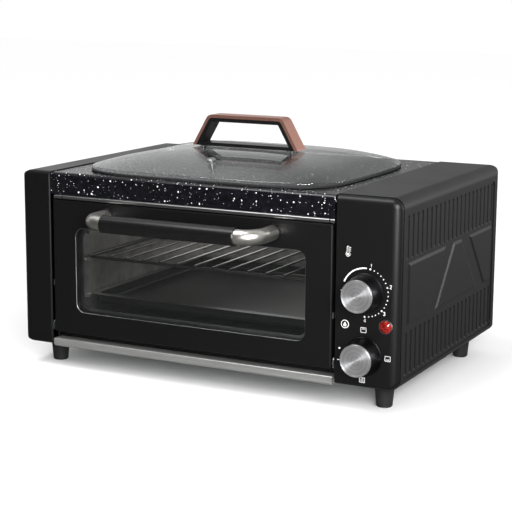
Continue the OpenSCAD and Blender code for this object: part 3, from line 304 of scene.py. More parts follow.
def toughened_glass(name, tint, least, most, blur):
    """Toughened glass: it mirrors the small share of light that it doesn't let through, more at a slant."""
    material, tree = new_material(name)
    slant = add(tree, "ShaderNodeFresnel", {"IOR": 1.5})
    share = add(tree, "ShaderNodeMapRange", {"Value": slant.outputs["Fac"], "From Min": 0.04, "From Max": 0.7,
                                             "To Min": least, "To Max": most})
    smudge = noise(tree, (25, 25, 25), Detail=4.0)
    return finished(material, {
        "Base Color": hex_rgb(tint), "Metallic": 1.0, "Alpha": share.outputs["Result"],
        "Roughness": spread(tree, smudge, blur, blur + 0.015)})


def window_glass():
    """Float glass of the door; the front of the room that it mirrors is dim."""
    return toughened_glass("window_glass", "#c9cccd", 0.05, 0.7, 0.01)


def dome_glass():
    """Pressed glass of the lid: it mirrors the pale room, which lays a grey veil over what is under it."""
    return toughened_glass("dome_glass", "#e4e6e6", 0.04, 0.72, 0.025)


def aluminised_steel():
    """Aluminised sheet of the oven: bright, with rolling lines and cloudy spangle."""
    material, tree = new_material("aluminised_steel")
    spangle = add(tree, "ShaderNodeTexVoronoi", {"Vector": stretched(tree, (90, 90, 90)), "Scale": 1.0})
    lines = noise(tree, (60, 60, 6), Detail=3.0)
    mixed = add(tree, "ShaderNodeMix", {"Factor": 0.7, "A": spangle.outputs["Distance"], "B": lines})
    cloud = mixed.outputs["Result"]
    colour = ramp(tree, cloud, [(0.25, hex_rgb("#8c8b88")), (0.75, hex_rgb("#b4b3b0"))])
    return finished(material, {
        "Base Color": colour, "Metallic": 0.9, "Roughness": spread(tree, cloud, 0.22, 0.5),
        "Normal": bumps(tree, lines, 0.3, 0.0008)})


def rack_wire():
    """Nickel-plated wire, dulled by heat: dark between narrow highlights."""
    return brushed_metal("rack_wire", "#6e6c69", 0.36, 0.05, (200, 200, 200))


def zinc_plate():
    """Zinc plating on the small steel pieces: grey with a faint cloud."""
    return brushed_metal("zinc_plate", "#a4a6a8", 0.4, 0.05, (120, 120, 120))


def heat_stained_sheath():
    """Sheath of the heating elements, browned by heat."""
    return brushed_metal("heat_stained_sheath", "#4c4640", 0.5, 0.1, (40, 300, 300))


def red_lens():
    """Clear red lens of the lamp: facets of 2 mm inside it, with light painted into its colour: a painted
    highlight in each facet's middle and painted shade between.
    """
    material, tree = new_material("red_lens")
    facets = add(tree, "ShaderNodeTexVoronoi", {"Vector": stretched(tree, (420, 420, 420)), "Scale": 1.0})
    # Painted light and shade: bright red at each facet's middle, dark red at its rim
    colour = ramp(tree, facets.outputs["Distance"], [(0.0, hex_rgb("#8c1a14")), (0.8, hex_rgb("#3c0706"))])
    return finished(material, {
        "Base Color": colour, "Roughness": 0.12, "Specular IOR Level": 0.6,
        "Normal": bumps(tree, facets.outputs["Distance"], 0.35, 0.0006)})


def screen_ink():
    """White screen print: a thin matt film, slightly uneven."""
    material, tree = new_material("white_screen_ink")
    wear = noise(tree, (500, 500, 500))
    colour = ramp(tree, wear, [(0.3, hex_rgb("#c4c4c2")), (0.7, hex_rgb("#e0e0de"))])
    return finished(material, {"Base Color": colour, "Roughness": 0.55})


def knob_metal():
    """Black-anodised knob body, turned: fine rings and a soft metallic sheen along it."""
    return brushed_metal("black_anodised", "#303032", 0.36, 0.1, (60, 1800, 60))


FINISHES = {
    satin_paint: ["left_cover", "right_cover", "control_panel", "rear_panel", "front_frame", "door_panel",
                  "door_handle_collars"],
    speckled_nonstick: ["grill_plate"],
    plain_enamel: ["baking_tray"],
    polished_chrome: ["lamp_bezel"],
    satin_chrome: ["door_handle_bar"],
    satin_stainless: ["front_sill"],
    brushed_trim: ["trim_strip", "trim_end_caps"],
    rose_gold: ["lid_handle_band"],
    glossy_plastic: ["door_handle_grip", "lid_handle_core"],
    knob_metal: ["temp_knob_body", "mode_knob_body"],
    black_rubber: ["foot_front_left", "foot_front_right", "foot_rear_left", "foot_rear_right", "lid_rim_seal",
                   "lid_handle_washers", "cord_gland"],
    white_nylon: ["mode_switch", "neon_lamp", "terminal_block"],
    steatite: ["element_insulators"],
    silicone_lead: ["internal_wiring"],
    window_glass: ["door_glass"],
    dome_glass: ["lid_glass"],
    aluminised_steel: ["oven_liner"],
    rack_wire: ["wire_rack"],
    zinc_plate: ["base_pan", "left_inner_wall", "right_inner_wall", "foot_screws", "rear_screws",
                 "plate_screws", "door_inner_frame", "door_hinge_pins", "door_springs", "door_check_arms",
                 "hinge_brackets", "door_handle_screws", "lid_handle_screws", "lid_steam_vent", "temp_shaft",
                 "mode_shaft", "thermostat", "control_bracket", "temp_knob_cap", "mode_knob_cap"],
    heat_stained_sheath: ["upper_heating_elements", "lower_heating_elements"],
    red_lens: ["lamp_lens"],
}


@functools.cache
def finish_of(maker):
    """The material that a maker gives, made once."""
    return maker()


# ---------------------------------------------------------------- mesh code

def put_mesh(name, points, faces, maker, body, uv=None, sharp=40):
    """A piece from its points and faces, smooth but for edges over sharp degrees, that rides on a body."""
    mesh = bpy.data.meshes.new(name)
    mesh.from_pydata(points.tolist(), [], faces)
    if uv is not None:
        layer = mesh.uv_layers.new(name="turned")
        layer.data.foreach_set("uv", uv.astype(np.float32).ravel())
    mesh.polygons.foreach_set("use_smooth", np.ones(len(mesh.polygons), bool))
    mesh.set_sharp_from_angle(angle=math.radians(sharp))
    mesh.materials.append(finish_of(maker))
    piece = bpy.data.objects.new(name, mesh)
    bpy.context.scene.collection.objects.link(piece)
    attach(piece, body)
    return piece


def skin(rings, closed=False):
    """Faces over a stack of rings: corner j of ring i joins corner j of ring i + 1.

    An open stack is closed by a fan from the middle of its first and last rings. Faces come out pointing
    outwards, because the sign of the volume that they hold, a sum of mixed products, is tested.
    """
    count, sides = rings.shape[:2]
    i, j = np.meshgrid(np.arange(count if closed else count - 1), np.arange(sides), indexing="ij")
    i, j = i.reshape(-1, 1), j.reshape(-1, 1)
    ring, corner = i + (0, 0, 1, 1), j + (0, 1, 1, 0)
    quads = ring % count * sides + corner % sides
    parts = [(quads, np.stack([corner / sides, ring / max(count - 1, 1)], -1))]
    points = rings.reshape(-1, 3)
    if not closed:
        points = np.concatenate([points, rings[:1].mean(1), rings[-1:].mean(1)])
        side = np.arange(sides)[:, None]
        across = (side + (1, 0, 0.5)) / sides
        for pole, pair in enumerate(((1, 0), (0, 1))):
            rim = (side + pair) % sides + pole * (count - 1) * sides
            fan = np.column_stack([rim, np.full(sides, count * sides + pole)])
            parts.append((fan, np.stack([across, np.full(across.shape, float(pole))], -1)))
    t = points[np.concatenate([quads[:, :3], quads[:, [0, 2, 3]]])]
    inward = np.einsum("ij,ij->i", t[:, 0], np.cross(t[:, 1], t[:, 2])).sum() < 0
    order = slice(None, None, -1 if inward else 1)
    faces = [face for some, _ in parts for face in some[:, order].tolist()]
    return points, faces, np.concatenate([corners[:, order].reshape(-1, 2) for _, corners in parts])


def turned(profile, centre, sides=96):
    """A revolve: the profile's (radius, height) pairs, carried round the axis -Y through centre."""
    angle = np.linspace(0, 2 * math.pi, sides, endpoint=False)
    radius, height = np.asarray(profile, float).T[:, :, None]
    rings = np.stack([radius * np.cos(angle), np.broadcast_to(-height, (len(profile), sides)),
                      radius * np.sin(angle)], -1)
    return rings + np.asarray(centre, float)


def rounded(profile, radius, steps=5):
    """A profile whose inner corners are replaced by quadratic curves that start radius away from each."""
    profile = np.asarray(profile, float)
    result = [profile[0]]
    for before, corner, after in zip(profile, profile[1:], profile[2:]):
        a, b = before - corner, after - corner
        reach = min(radius, np.linalg.norm(a) / 2.01, np.linalg.norm(b) / 2.01)
        start, end = corner + a / np.linalg.norm(a) * reach, corner + b / np.linalg.norm(b) * reach
        t = np.linspace(0, 1, steps)[:, None]
        result.extend((1 - t) ** 2 * start + 2 * t * (1 - t) * corner + t ** 2 * end)
    result.append(profile[-1])
    return np.array(result)


# ---------------------------------------------------------------- settings

def metres(name, description, default):
    """A setting in metres."""
    return FloatProperty(name=name, description=description, default=default, unit="LENGTH")


class TandoorSizes(PropertyGroup):
    """Sizes of the pieces that this file makes."""

    knob_foot: metres("Knob at panel", "Diameter of a knob at the panel", 0.038)
    knob_head: metres("Knob under cap", "Diameter of a knob under its cap", 0.0322)
    cap_thickness: metres("Cap", "Thickness of the metal cap", 0.0026)
    dial_radius: metres("Dial", "Radius of the printed dial", 0.0235)
    ink_thickness: metres("Ink", "Thickness of the print", 0.00012)
    numeral_height: metres("Numerals", "Height of the dial's numerals", 0.0034)
    lid_thickness: metres("Lid glass", "Thickness of the lid glass", 0.004)
    lid_squareness: FloatProperty(name="Lid outline", description="Power of the lid's squared circle",
                                  default=4.7)
    seal_width: metres("Seal width", "Width of the lid's seal", 0.0045)
    seal_height: metres("Seal height", "Height of the lid's seal", 0.002)
    seal_lip: metres("Seal lip", "Reach of the seal past the glass", 0.0004)
    # The window's bead is a bright piece that stands in for a painted highlight on the rolled edge
    window_corner: metres("Window corner", "Radius of the window's corners", 0.01)
    window_bead: metres("Window bead", "Thickness of the window's bead", 0.0007)
    panel_roll: FloatVectorProperty(name="Panel rolls", size=4, default=(0.0012, 0.0092, 0.005, 0.0075),
                                    description="Width of the panel's roll, left, right, low and high",
                                    unit="LENGTH")


class TandoorLight(PropertyGroup):
    """Light and floor of the stage."""

    floor: FloatVectorProperty(name="Floor", description="Colour of the floor", subtype="COLOR", size=4,
                               min=0, max=1, default=hex_rgb("#dedede"))
    key_watts: FloatProperty(name="Key", description="Power of the key softbox", default=16.0, unit="POWER")
    fill_watts: FloatProperty(name="Fill", description="Power of each fill softbox", default=7.0,
                              unit="POWER")
    oven_watts: FloatProperty(name="Oven", description="Power of the lamp inside the oven", default=0.16,
                              unit="POWER")
    sky: FloatProperty(name="Sky", description="Strength of the even light from the world", default=0.9)


# ---------------------------------------------------------------- operators

class TANDOOR_OT_stage(Operator):
    """Adds the floor, the lamps, the world and the camera."""

    bl_idname = "tandoor.stage"
    bl_label = "Stage"

    def execute(self, context):
        """Places the camera and the lamps for the photograph's highlights, over a floor and under a world."""
        light = context.scene.tandoor_light
        self.camera(context)
        self.world(context, light.sky)
        self.floor(light.floor)
        self.softbox("key", (-0.3, -0.5, 1.5), 0.9, light.key_watts, shape="DISK")
        self.softbox("edge_right", (1.3, -1.1, 0.95), 0.4, light.fill_watts * 3)
        self.softbox("window", (0.66, -0.95, 0.34), 0.4, light.fill_watts * 2)
        self.softbox("edge_back", (1.5, 1.15, 0.4), 0.5, light.fill_watts)
        low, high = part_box("oven_liner")
        self.softbox("oven", ((low.x + high.x) / 2, low.y * 0.4 + high.y * 0.6, high.z - 0.03), 0.12,
                     light.oven_watts, aim=(0, -0.02, -1))
        return {"FINISHED"}

    @staticmethod
    def camera(context):
        """The photograph's own lens, height and turn."""
        data = bpy.data.cameras.new("camera")
        data.sensor_width = 36
        data.lens = CAMERA_LENS
        camera = bpy.data.objects.new("camera", data)
        yaw, tilt, roll = (math.radians(angle) for angle in CAMERA_TURN)
        turns = [Euler(angles).to_matrix() for angles in ((0, 0, yaw), (tilt, 0, 0), (0, 0, roll))]
        turn = turns[0] @ turns[1] @ turns[2]
        camera.matrix_world = Matrix.Translation(CAMERA_PLACE) @ turn.to_4x4()
        context.scene.collection.objects.link(camera)
        context.scene.camera = camera
        context.scene.view_settings.view_transform = "Standard"

    @staticmethod
    def world(context, strength):
        """Even light; the eye sees it white, and gloss sees walls that are bright behind and dim in front."""
        world = bpy.data.worlds.new("studio")
        context.scene.world = world
        world.use_nodes = True
        tree = world.node_tree
        tree.nodes.clear()
        path = add(tree, "ShaderNodeLightPath")
        seen = add(tree, "ShaderNodeMath", {0: path.outputs["Is Camera Ray"],
                                            1: path.outputs["Is Transmission Ray"]}, operation="MAXIMUM")
        place = add(tree, "ShaderNodeTexCoord").outputs["Generated"]
        axes = add(tree, "ShaderNodeSeparateXYZ", {"Vector": place})
        back = ramp(tree, axes.outputs["Y"], [(0.0, hex_rgb("#484848")), (0.1, hex_rgb("#a4a4a4")),
                                              (0.32, hex_rgb("#ffffff"))])
        right = add(tree, "ShaderNodeMapRange", {"Value": axes.outputs["X"], "From Min": -1.0,
                                                 "From Max": 1.0})
        wall = ramp(tree, right.outputs["Result"], [(0.2, hex_rgb("#f4f4f4")), (0.36, hex_rgb("#9a9a9a")),
                                                    (0.5, hex_rgb("#b4b4b4")), (0.7, hex_rgb("#e8e8e8"))])
        gloss = add(tree, "ShaderNodeMix", {"Factor": 1.0, "A": back, "B": wall}, data_type="RGBA",
                    blend_type="MULTIPLY")
        plain = add(tree, "ShaderNodeBackground", {"Color": hex_rgb("#ffffff"), "Strength": strength})
        mirror = add(tree, "ShaderNodeBackground", {"Color": gloss.outputs["Result"], "Strength": 1.0})
        white = add(tree, "ShaderNodeBackground", {"Color": hex_rgb("#ffffff"), "Strength": 1.0})
        first = add(tree, "ShaderNodeMixShader", {0: path.outputs["Is Glossy Ray"], 1: plain.outputs[0],
                                                  2: mirror.outputs[0]})
        second = add(tree, "ShaderNodeMixShader", {0: seen.outputs["Value"], 1: first.outputs[0],
                                                   2: white.outputs[0]})
        add(tree, "ShaderNodeOutputWorld", {"Surface": second.outputs[0]})

    @staticmethod
    def floor(colour):
        """A wide pale sheet; far from the object it glows for the eye, so it meets the white world."""
        half = 6.0
        mesh = bpy.data.meshes.new("floor")
        corners = [(-half, -half, 0), (half, -half, 0), (half, half, 0), (-half, half, 0)]
        mesh.from_pydata(corners, [], [(0, 1, 2, 3)])
        material, tree = new_material("pale_floor")
        path = add(tree, "ShaderNodeLightPath")
        matt = add(tree, "ShaderNodeBsdfDiffuse", {"Color": colour})
        ball = add(tree, "ShaderNodeTexGradient", {"Vector": stretched(tree, (0.7, 0.7, 0.7))},
                   gradient_type="SPHERICAL")
        lift = ramp(tree, ball.outputs["Fac"], [(0.0, hex_rgb("#9a9a9a")), (0.7, hex_rgb("#000000"))])
        glow = add(tree, "ShaderNodeEmission", {"Color": lift, "Strength": 1.0})
        lifted = add(tree, "ShaderNodeAddShader", {0: matt.outputs[0], 1: glow.outputs[0]})
        # What gloss sees of the floor is a painted reflection: a dim glow, brighter to the right, in place of
        # lit floor
        side = add(tree, "ShaderNodeSeparateXYZ", {"Vector": stretched(tree, (1, 1, 1))})
        reach = add(tree, "ShaderNodeMapRange", {"Value": side.outputs["X"], "From Min": -1.0,
                                                 "From Max": 1.0})
        dim = ramp(tree, reach.outputs["Result"], [(0.25, hex_rgb("#585858")), (0.62, hex_rgb("#7c7c7c")),
                                                   (0.9, hex_rgb("#9a9a9a"))])
        painted_floor_reflection = add(tree, "ShaderNodeEmission", {"Color": dim, "Strength": 1.0})
        first = add(tree, "ShaderNodeMixShader", {0: path.outputs["Is Glossy Ray"], 1: matt.outputs[0],
                                                  2: painted_floor_reflection.outputs[0]})
        mixed = add(tree, "ShaderNodeMixShader", {0: path.outputs["Is Camera Ray"], 1: first.outputs[0],
                                                  2: lifted.outputs[0]})
        mesh.materials.append(surfaced(material, mixed))
        floor = bpy.data.objects.new("floor", mesh)
        bpy.context.scene.collection.objects.link(floor)

    @staticmethod
    def softbox(name, place, size, watts, shape="SQUARE", aim=None):
        """A flat lamp that faces the middle of the object, or along aim."""
        data = bpy.data.lights.new(name, "AREA")
        data.shape = shape
        data.size = size
        data.energy = watts
        lamp = bpy.data.objects.new(name, data)
        lamp.location = place
        aim = Vector(aim) if aim else Vector((0, 0, 0.12)) - lamp.location
        lamp.rotation_euler = aim.to_track_quat("-Z", "Y").to_euler()
        bpy.context.scene.collection.objects.link(lamp)


class TANDOOR_OT_finishes(Operator):
    """Gives each part of the model its material."""

    bl_idname = "tandoor.finishes"
    bl_label = "Finishes"

    def execute(self, context):
        """Puts each finish on the nodes that FINISHES lists for it."""
        for maker, names in FINISHES.items():
            for name in names:
                node = frame["nodes"][name]
                node.data.materials.clear()
                node.data.materials.append(finish_of(maker))
        return {"FINISHED"}


class TANDOOR_OT_knobs(Operator):
    """Makes both knobs: a tapered body and a spun metal cap."""

    bl_idname = "tandoor.knobs"
    bl_label = "Knobs"

    def execute(self, context):
        """Turns each knob about its joint's axis, between the panel and the cap's face."""
        sizes = context.scene.tandoor_sizes
        for name, body, joint in (("temp", "temperature_knob", "temperature_turn"),
                                  ("mode", "mode_knob", "mode_turn")):
            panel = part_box(name + "_knob_body")[1].y
            x, _, z = JOINTS[joint]["pos_m"]
            centre = (x, panel, z)
            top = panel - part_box(name + "_knob_cap")[0].y
            self.body(name, body, centre, top, sizes)
            self.cap(name, body, centre, top, sizes)
        return {"FINISHED"}

    @staticmethod
    def body(name, body, centre, top, sizes):
        """Revolve of a skirt, a slow taper and a neck under the cap."""
        foot, head, cap = sizes.knob_foot / 2, sizes.knob_head / 2, sizes.cap_thickness
        profile = rounded([(foot - 0.004, 0), (foot, 0), (foot, 0.0018), (foot - 0.0006, 0.0022),
                           (head, top - cap - 0.0006), (head - 0.0009, top - cap - 0.0001),
                           (head - 0.004, top - cap)], 0.0006)
        points, faces, uv = skin(turned(profile, centre))
        piece = put_mesh(name + "_knob_grip", points, faces, knob_metal, body, uv)
        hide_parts(name + "_knob_body")

    @staticmethod
    def cap(name, body, centre, top, sizes):
        """Revolve of a flat disc with a rolled edge and a fine step near it."""
        r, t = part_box(name + "_knob_cap"), sizes.cap_thickness
        edge = (r[1].x - r[0].x) / 2
        profile = rounded([(edge - 0.003, top - t), (edge, top - t), (edge, top - 0.0002),
                           (edge - 0.0008, top), (edge - 0.0012, top - 0.00025),
                           (0.0001, top - 0.00035)], 0.0004)
        points, faces, uv = skin(turned(profile, centre, 128))
        piece = put_mesh(name + "_knob_disc", points, faces, spun_aluminium, body, uv)
        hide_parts(name + "_knob_cap")


class TANDOOR_OT_lid(Operator):
    """Makes the lid's glass and its rim seal."""

    bl_idname = "tandoor.lid"
    bl_label = "Lid"

    def execute(self, context):
        """Fits both to the box of the model's glass."""
        sizes = context.scene.tandoor_sizes
        self.glass(sizes)
        self.seal(sizes)
        return {"FINISHED"}

    @staticmethod
    def outline(low, high, power, inset=0.0, sides=240):
        """Squared circle through the box's sides: |x/a|^power + |y/b|^power = 1, drawn in by inset."""
        turn = np.linspace(0, 2 * math.pi, sides, endpoint=False)
        c, s = np.cos(turn), np.sin(turn)
        a, b = (high.x - low.x) / 2 - inset, (high.y - low.y) / 2 - inset
        x = a * np.sign(c) * np.abs(c) ** (2 / power)
        y = b * np.sign(s) * np.abs(s) ** (2 / power)
        return np.stack([x + (high.x + low.x) / 2, y + (high.y + low.y) / 2], -1)

    def glass(self, sizes):
        """Dome whose height falls with the cube of the way out; its two faces join in a round rim."""
        low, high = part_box("lid_glass")
        t = sizes.lid_thickness
        rise = high.z - low.z - t
        middle = np.array([(low.x + high.x) / 2, (low.y + high.y) / 2])
        rim = self.outline(low, high, sizes.lid_squareness, t / 2)
        share = np.sin(np.linspace(0.02, 1, 26) * math.pi / 2)
        round_off = np.linspace(math.pi / 2, -math.pi / 2, 9)[1:-1]
        out = np.concatenate([share, np.ones(7), share[::-1]])
        push = np.concatenate([share * 0, np.cos(round_off), share * 0]) * t / 2
        lift = np.concatenate([share * 0 + t, (1 + np.sin(round_off)) * t / 2, share * 0])
        centred = rim - middle
        away = centred / np.linalg.norm(centred, axis=1, keepdims=True)
        flat = out[:, None, None] * centred + push[:, None, None] * away + middle
        height = low.z + lift + rise * (1 - out ** 3)
        rings = np.concatenate([flat, np.broadcast_to(height[:, None, None], flat.shape[:2] + (1,))], -1)
        points, faces, uv = skin(rings)
        piece = put_mesh("lid_dome", points, faces, dome_glass, "lid", uv)
        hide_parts("lid_glass")

    def seal(self, sizes):
        """Soft bead carried along the rim, whose lip stands just outside the glass."""
        low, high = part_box("lid_glass")
        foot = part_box("lid_rim_seal")[0].z
        width, height = sizes.seal_width, sizes.seal_height
        turn = np.linspace(0, 2 * math.pi, 16, endpoint=False)
        across = np.sign(np.cos(turn)) * np.abs(np.cos(turn)) ** 0.6
        up = np.sign(np.sin(turn)) * np.abs(np.sin(turn)) ** 0.6
        rings = []
        for side, rise in zip(across, up):
            line = self.outline(low, high, sizes.lid_squareness, width / 2 * (1 - side) - sizes.seal_lip)
            rings.append(np.column_stack([line, np.full(len(line), foot + height / 2 * (1 + rise))]))
        points, faces, uv = skin(np.array(rings), closed=True)
        piece = put_mesh("lid_seal_bead", points, faces, black_rubber, "lid", uv, 70)
        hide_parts("lid_rim_seal")


class TANDOOR_OT_panel_cap(Operator):
    """Makes the control panel as a pressed cap with wide rolled edges and two shaft holes."""

    bl_idname = "tandoor.panel_cap"
    bl_label = "Control panel"

    # Thickness of the sheet, radius of the shaft holes, and seam to the cover on the right and above
    SHEET = 0.0011
    HOLE = 0.0052
    SEAM = 0.0007
    # Corner radii at the back: low left, low right, high right and high left
    CORNERS = (0.001, 0.011, 0.011, 0.001)

    def execute(self, context):
        """Rings that roll back from the flat front along a quarter circle's sine, and their inner face."""
        self.low, self.high = np.array(PANEL_LOW), np.array(PANEL_HIGH)
        self.roll = np.array(context.scene.tandoor_sizes.panel_roll)
        theta = np.linspace(0, 0.9, 13) * math.pi / 2
        back = self.high[1] - self.low[1]
        reach = np.append(np.sin(theta), 1.0)
        depth = np.append(back * (1 - np.cos(theta)), back)
        outer = [self.ring(1 - r, d, 0.0) for r, d in zip(reach, depth)]
        inner = [self.ring(1 - r, max(d, self.SHEET), self.SHEET) for r, d in zip(reach[::-1], depth[::-1])]
        points, faces, uv = skin(np.array(outer + inner), closed=True)
        sides = len(outer[0])
        parts = [(points, faces[:-sides], uv[:-4 * sides])]
        for joint, upper in (("temperature_turn", True), ("mode_turn", False)):
            x, _, z = JOINTS[joint]["pos_m"]
            parts.append(self.cell(x, z, upper, 0.0, True))
            parts.append(self.cell(x, z, upper, self.SHEET, False))
            parts.append(self.bore(x, z))
        points, faces, uv, count = [], [], [], 0
        for some, quads, corners in parts:
            points.append(some)
            faces += (np.asarray(quads) + count).tolist()
            uv.append(corners)
            count += len(some)
        points, uv = np.concatenate(points), np.concatenate(uv)
        piece = put_mesh("control_cap", points, faces, satin_paint, "body", uv, 35)
        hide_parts("control_panel")
        return {"FINISHED"}

    def edges(self, share):
        """Sides of the outline, left, right, low and high, drawn in by a share of each side's roll."""
        left, right, low, high = self.roll * share
        return (self.low[0] + left, self.high[0] - self.SEAM - right, self.low[2] + low,
                self.high[2] - self.SEAM - high)

    def ring(self, share, depth, inset, arc=9):
        """Rounded rectangle whose corner radii shrink from the back's to nothing at the flat front."""
        x0, x1, z0, z1 = self.edges(share)
        x0, x1, z0, z1 = x0 + inset, x1 - inset, z0 + inset, z1 - inset
        radii = np.maximum(np.array(self.CORNERS) * (1 - share), 0.0001)
        turn = np.linspace(0, math.pi / 2, arc)
        line = []
        for (x, z), radius, start in zip(((x0, z0), (x1, z0), (x1, z1), (x0, z1)), radii, (2, 3, 0, 1)):
            middle = (x + radius * (1 if x == x0 else -1), z + radius * (1 if z == z0 else -1))
            angle = turn + start * math.pi / 2
            line.append(np.array(middle) + radius * np.stack([np.cos(angle), np.sin(angle)], -1))
        line = np.concatenate(line)
        return np.column_stack([line[:, 0], np.full(len(line), self.low[1] + depth), line[:, 1]])

    def cell(self, x, z, upper, depth, outward):
        """Half of the flat front round a hole: rays from the hole's rim to the half's own edge."""
        x0, x1, z0, z1 = self.edges(1.0)
        x0, x1, z0, z1 = x0 + depth, x1 - depth, z0 + depth, z1 - depth
        middle = (JOINTS["temperature_turn"]["pos_m"][2] + JOINTS["mode_turn"]["pos_m"][2]) / 2
        z0, z1 = (middle, z1) if upper else (z0, middle)
        corners = np.arctan2([z0 - z, z0 - z, z1 - z, z1 - z], [x0 - x, x1 - x, x1 - x, x0 - x])
        angle = np.sort(np.concatenate([np.linspace(-math.pi, math.pi, 48, endpoint=False), corners]))
        c, s = np.cos(angle), np.sin(angle)
        far = np.minimum(np.where(c > 0, x1 - x, x - x0) / np.maximum(np.abs(c), 1e-9),
                         np.where(s > 0, z1 - z, z - z0) / np.maximum(np.abs(s), 1e-9))
        share = np.linspace(0, 1, 5)[:, None]
        length = self.HOLE * (1 - share) + far * share
        grid = np.stack([x + length * c, np.full(length.shape, self.low[1] + depth), z + length * s], -1)
        n = len(angle)
        i, j = np.meshgrid(np.arange(4), np.arange(n), indexing="ij")
        quads = np.stack([i * n + j, i * n + (j + 1) % n, (i + 1) * n + (j + 1) % n, (i + 1) * n + j], -1)
        quads = quads.reshape(-1, 4)
        if not outward:
            quads = quads[:, ::-1]
        return grid.reshape(-1, 3), quads.tolist(), grid.reshape(-1, 3)[quads.ravel()][:, [0, 2]]

    def bore(self, x, z):
        """Wall of a hole: a circle at the front joined to the same circle a sheet's width behind."""
        angle = np.linspace(0, 2 * math.pi, 48, endpoint=False)
        across, up = self.HOLE * np.cos(angle), self.HOLE * np.sin(angle)
        rim = np.stack([x + across, np.full(48, self.low[1]), z + up], -1)
        points = np.concatenate([rim, rim + (0, self.SHEET, 0)])
        a, b = np.arange(48), (np.arange(48) + 1) % 48
        quads = np.stack([a, a + 48, b + 48, b], -1)
        return points, quads.tolist(), points[quads.ravel()][:, [0, 2]]


class TANDOOR_OT_window(Operator):
    """Makes a bright bead along the rolled edge of the door's window: a painted highlight, standing in for
    the light that the black-painted edge catches.
    """

    bl_idname = "tandoor.window"
    bl_label = "Window edge"

    def execute(self, context):
        """Circle of the bead's radius carried round a rounded rectangle."""
        sizes = context.scene.tandoor_sizes
        x0, x1, z0, z1 = WINDOW
        corner, radius = sizes.window_corner, sizes.window_bead / 2
        turn = np.linspace(0, math.pi / 2, 12)
        line, away = [], []
        for x, z, start in ((x1 - corner, z1 - corner, 0), (x0 + corner, z1 - corner, 1),
                            (x0 + corner, z0 + corner, 2), (x1 - corner, z0 + corner, 3)):
            angle = turn + start * math.pi / 2
            out = np.stack([np.cos(angle), np.sin(angle)], -1)
            line.append(np.array((x, z)) + corner * out)
            away.append(out)
        line, away = np.concatenate(line), np.concatenate(away)
        around = np.linspace(0, 2 * math.pi, 10, endpoint=False)
        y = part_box("door_panel")[0].y + 0.0004
        rings = np.stack([np.column_stack([line[:, 0] + away[:, 0] * radius * math.cos(a),
                                           np.full(len(line), y + radius * math.sin(a)),
                                           line[:, 1] + away[:, 1] * radius * math.cos(a)]) for a in around])
        points, faces, uv = skin(rings, closed=True)
        piece = put_mesh("window_bead", points, faces, satin_chrome, "door", uv, 70)
        return {"FINISHED"}


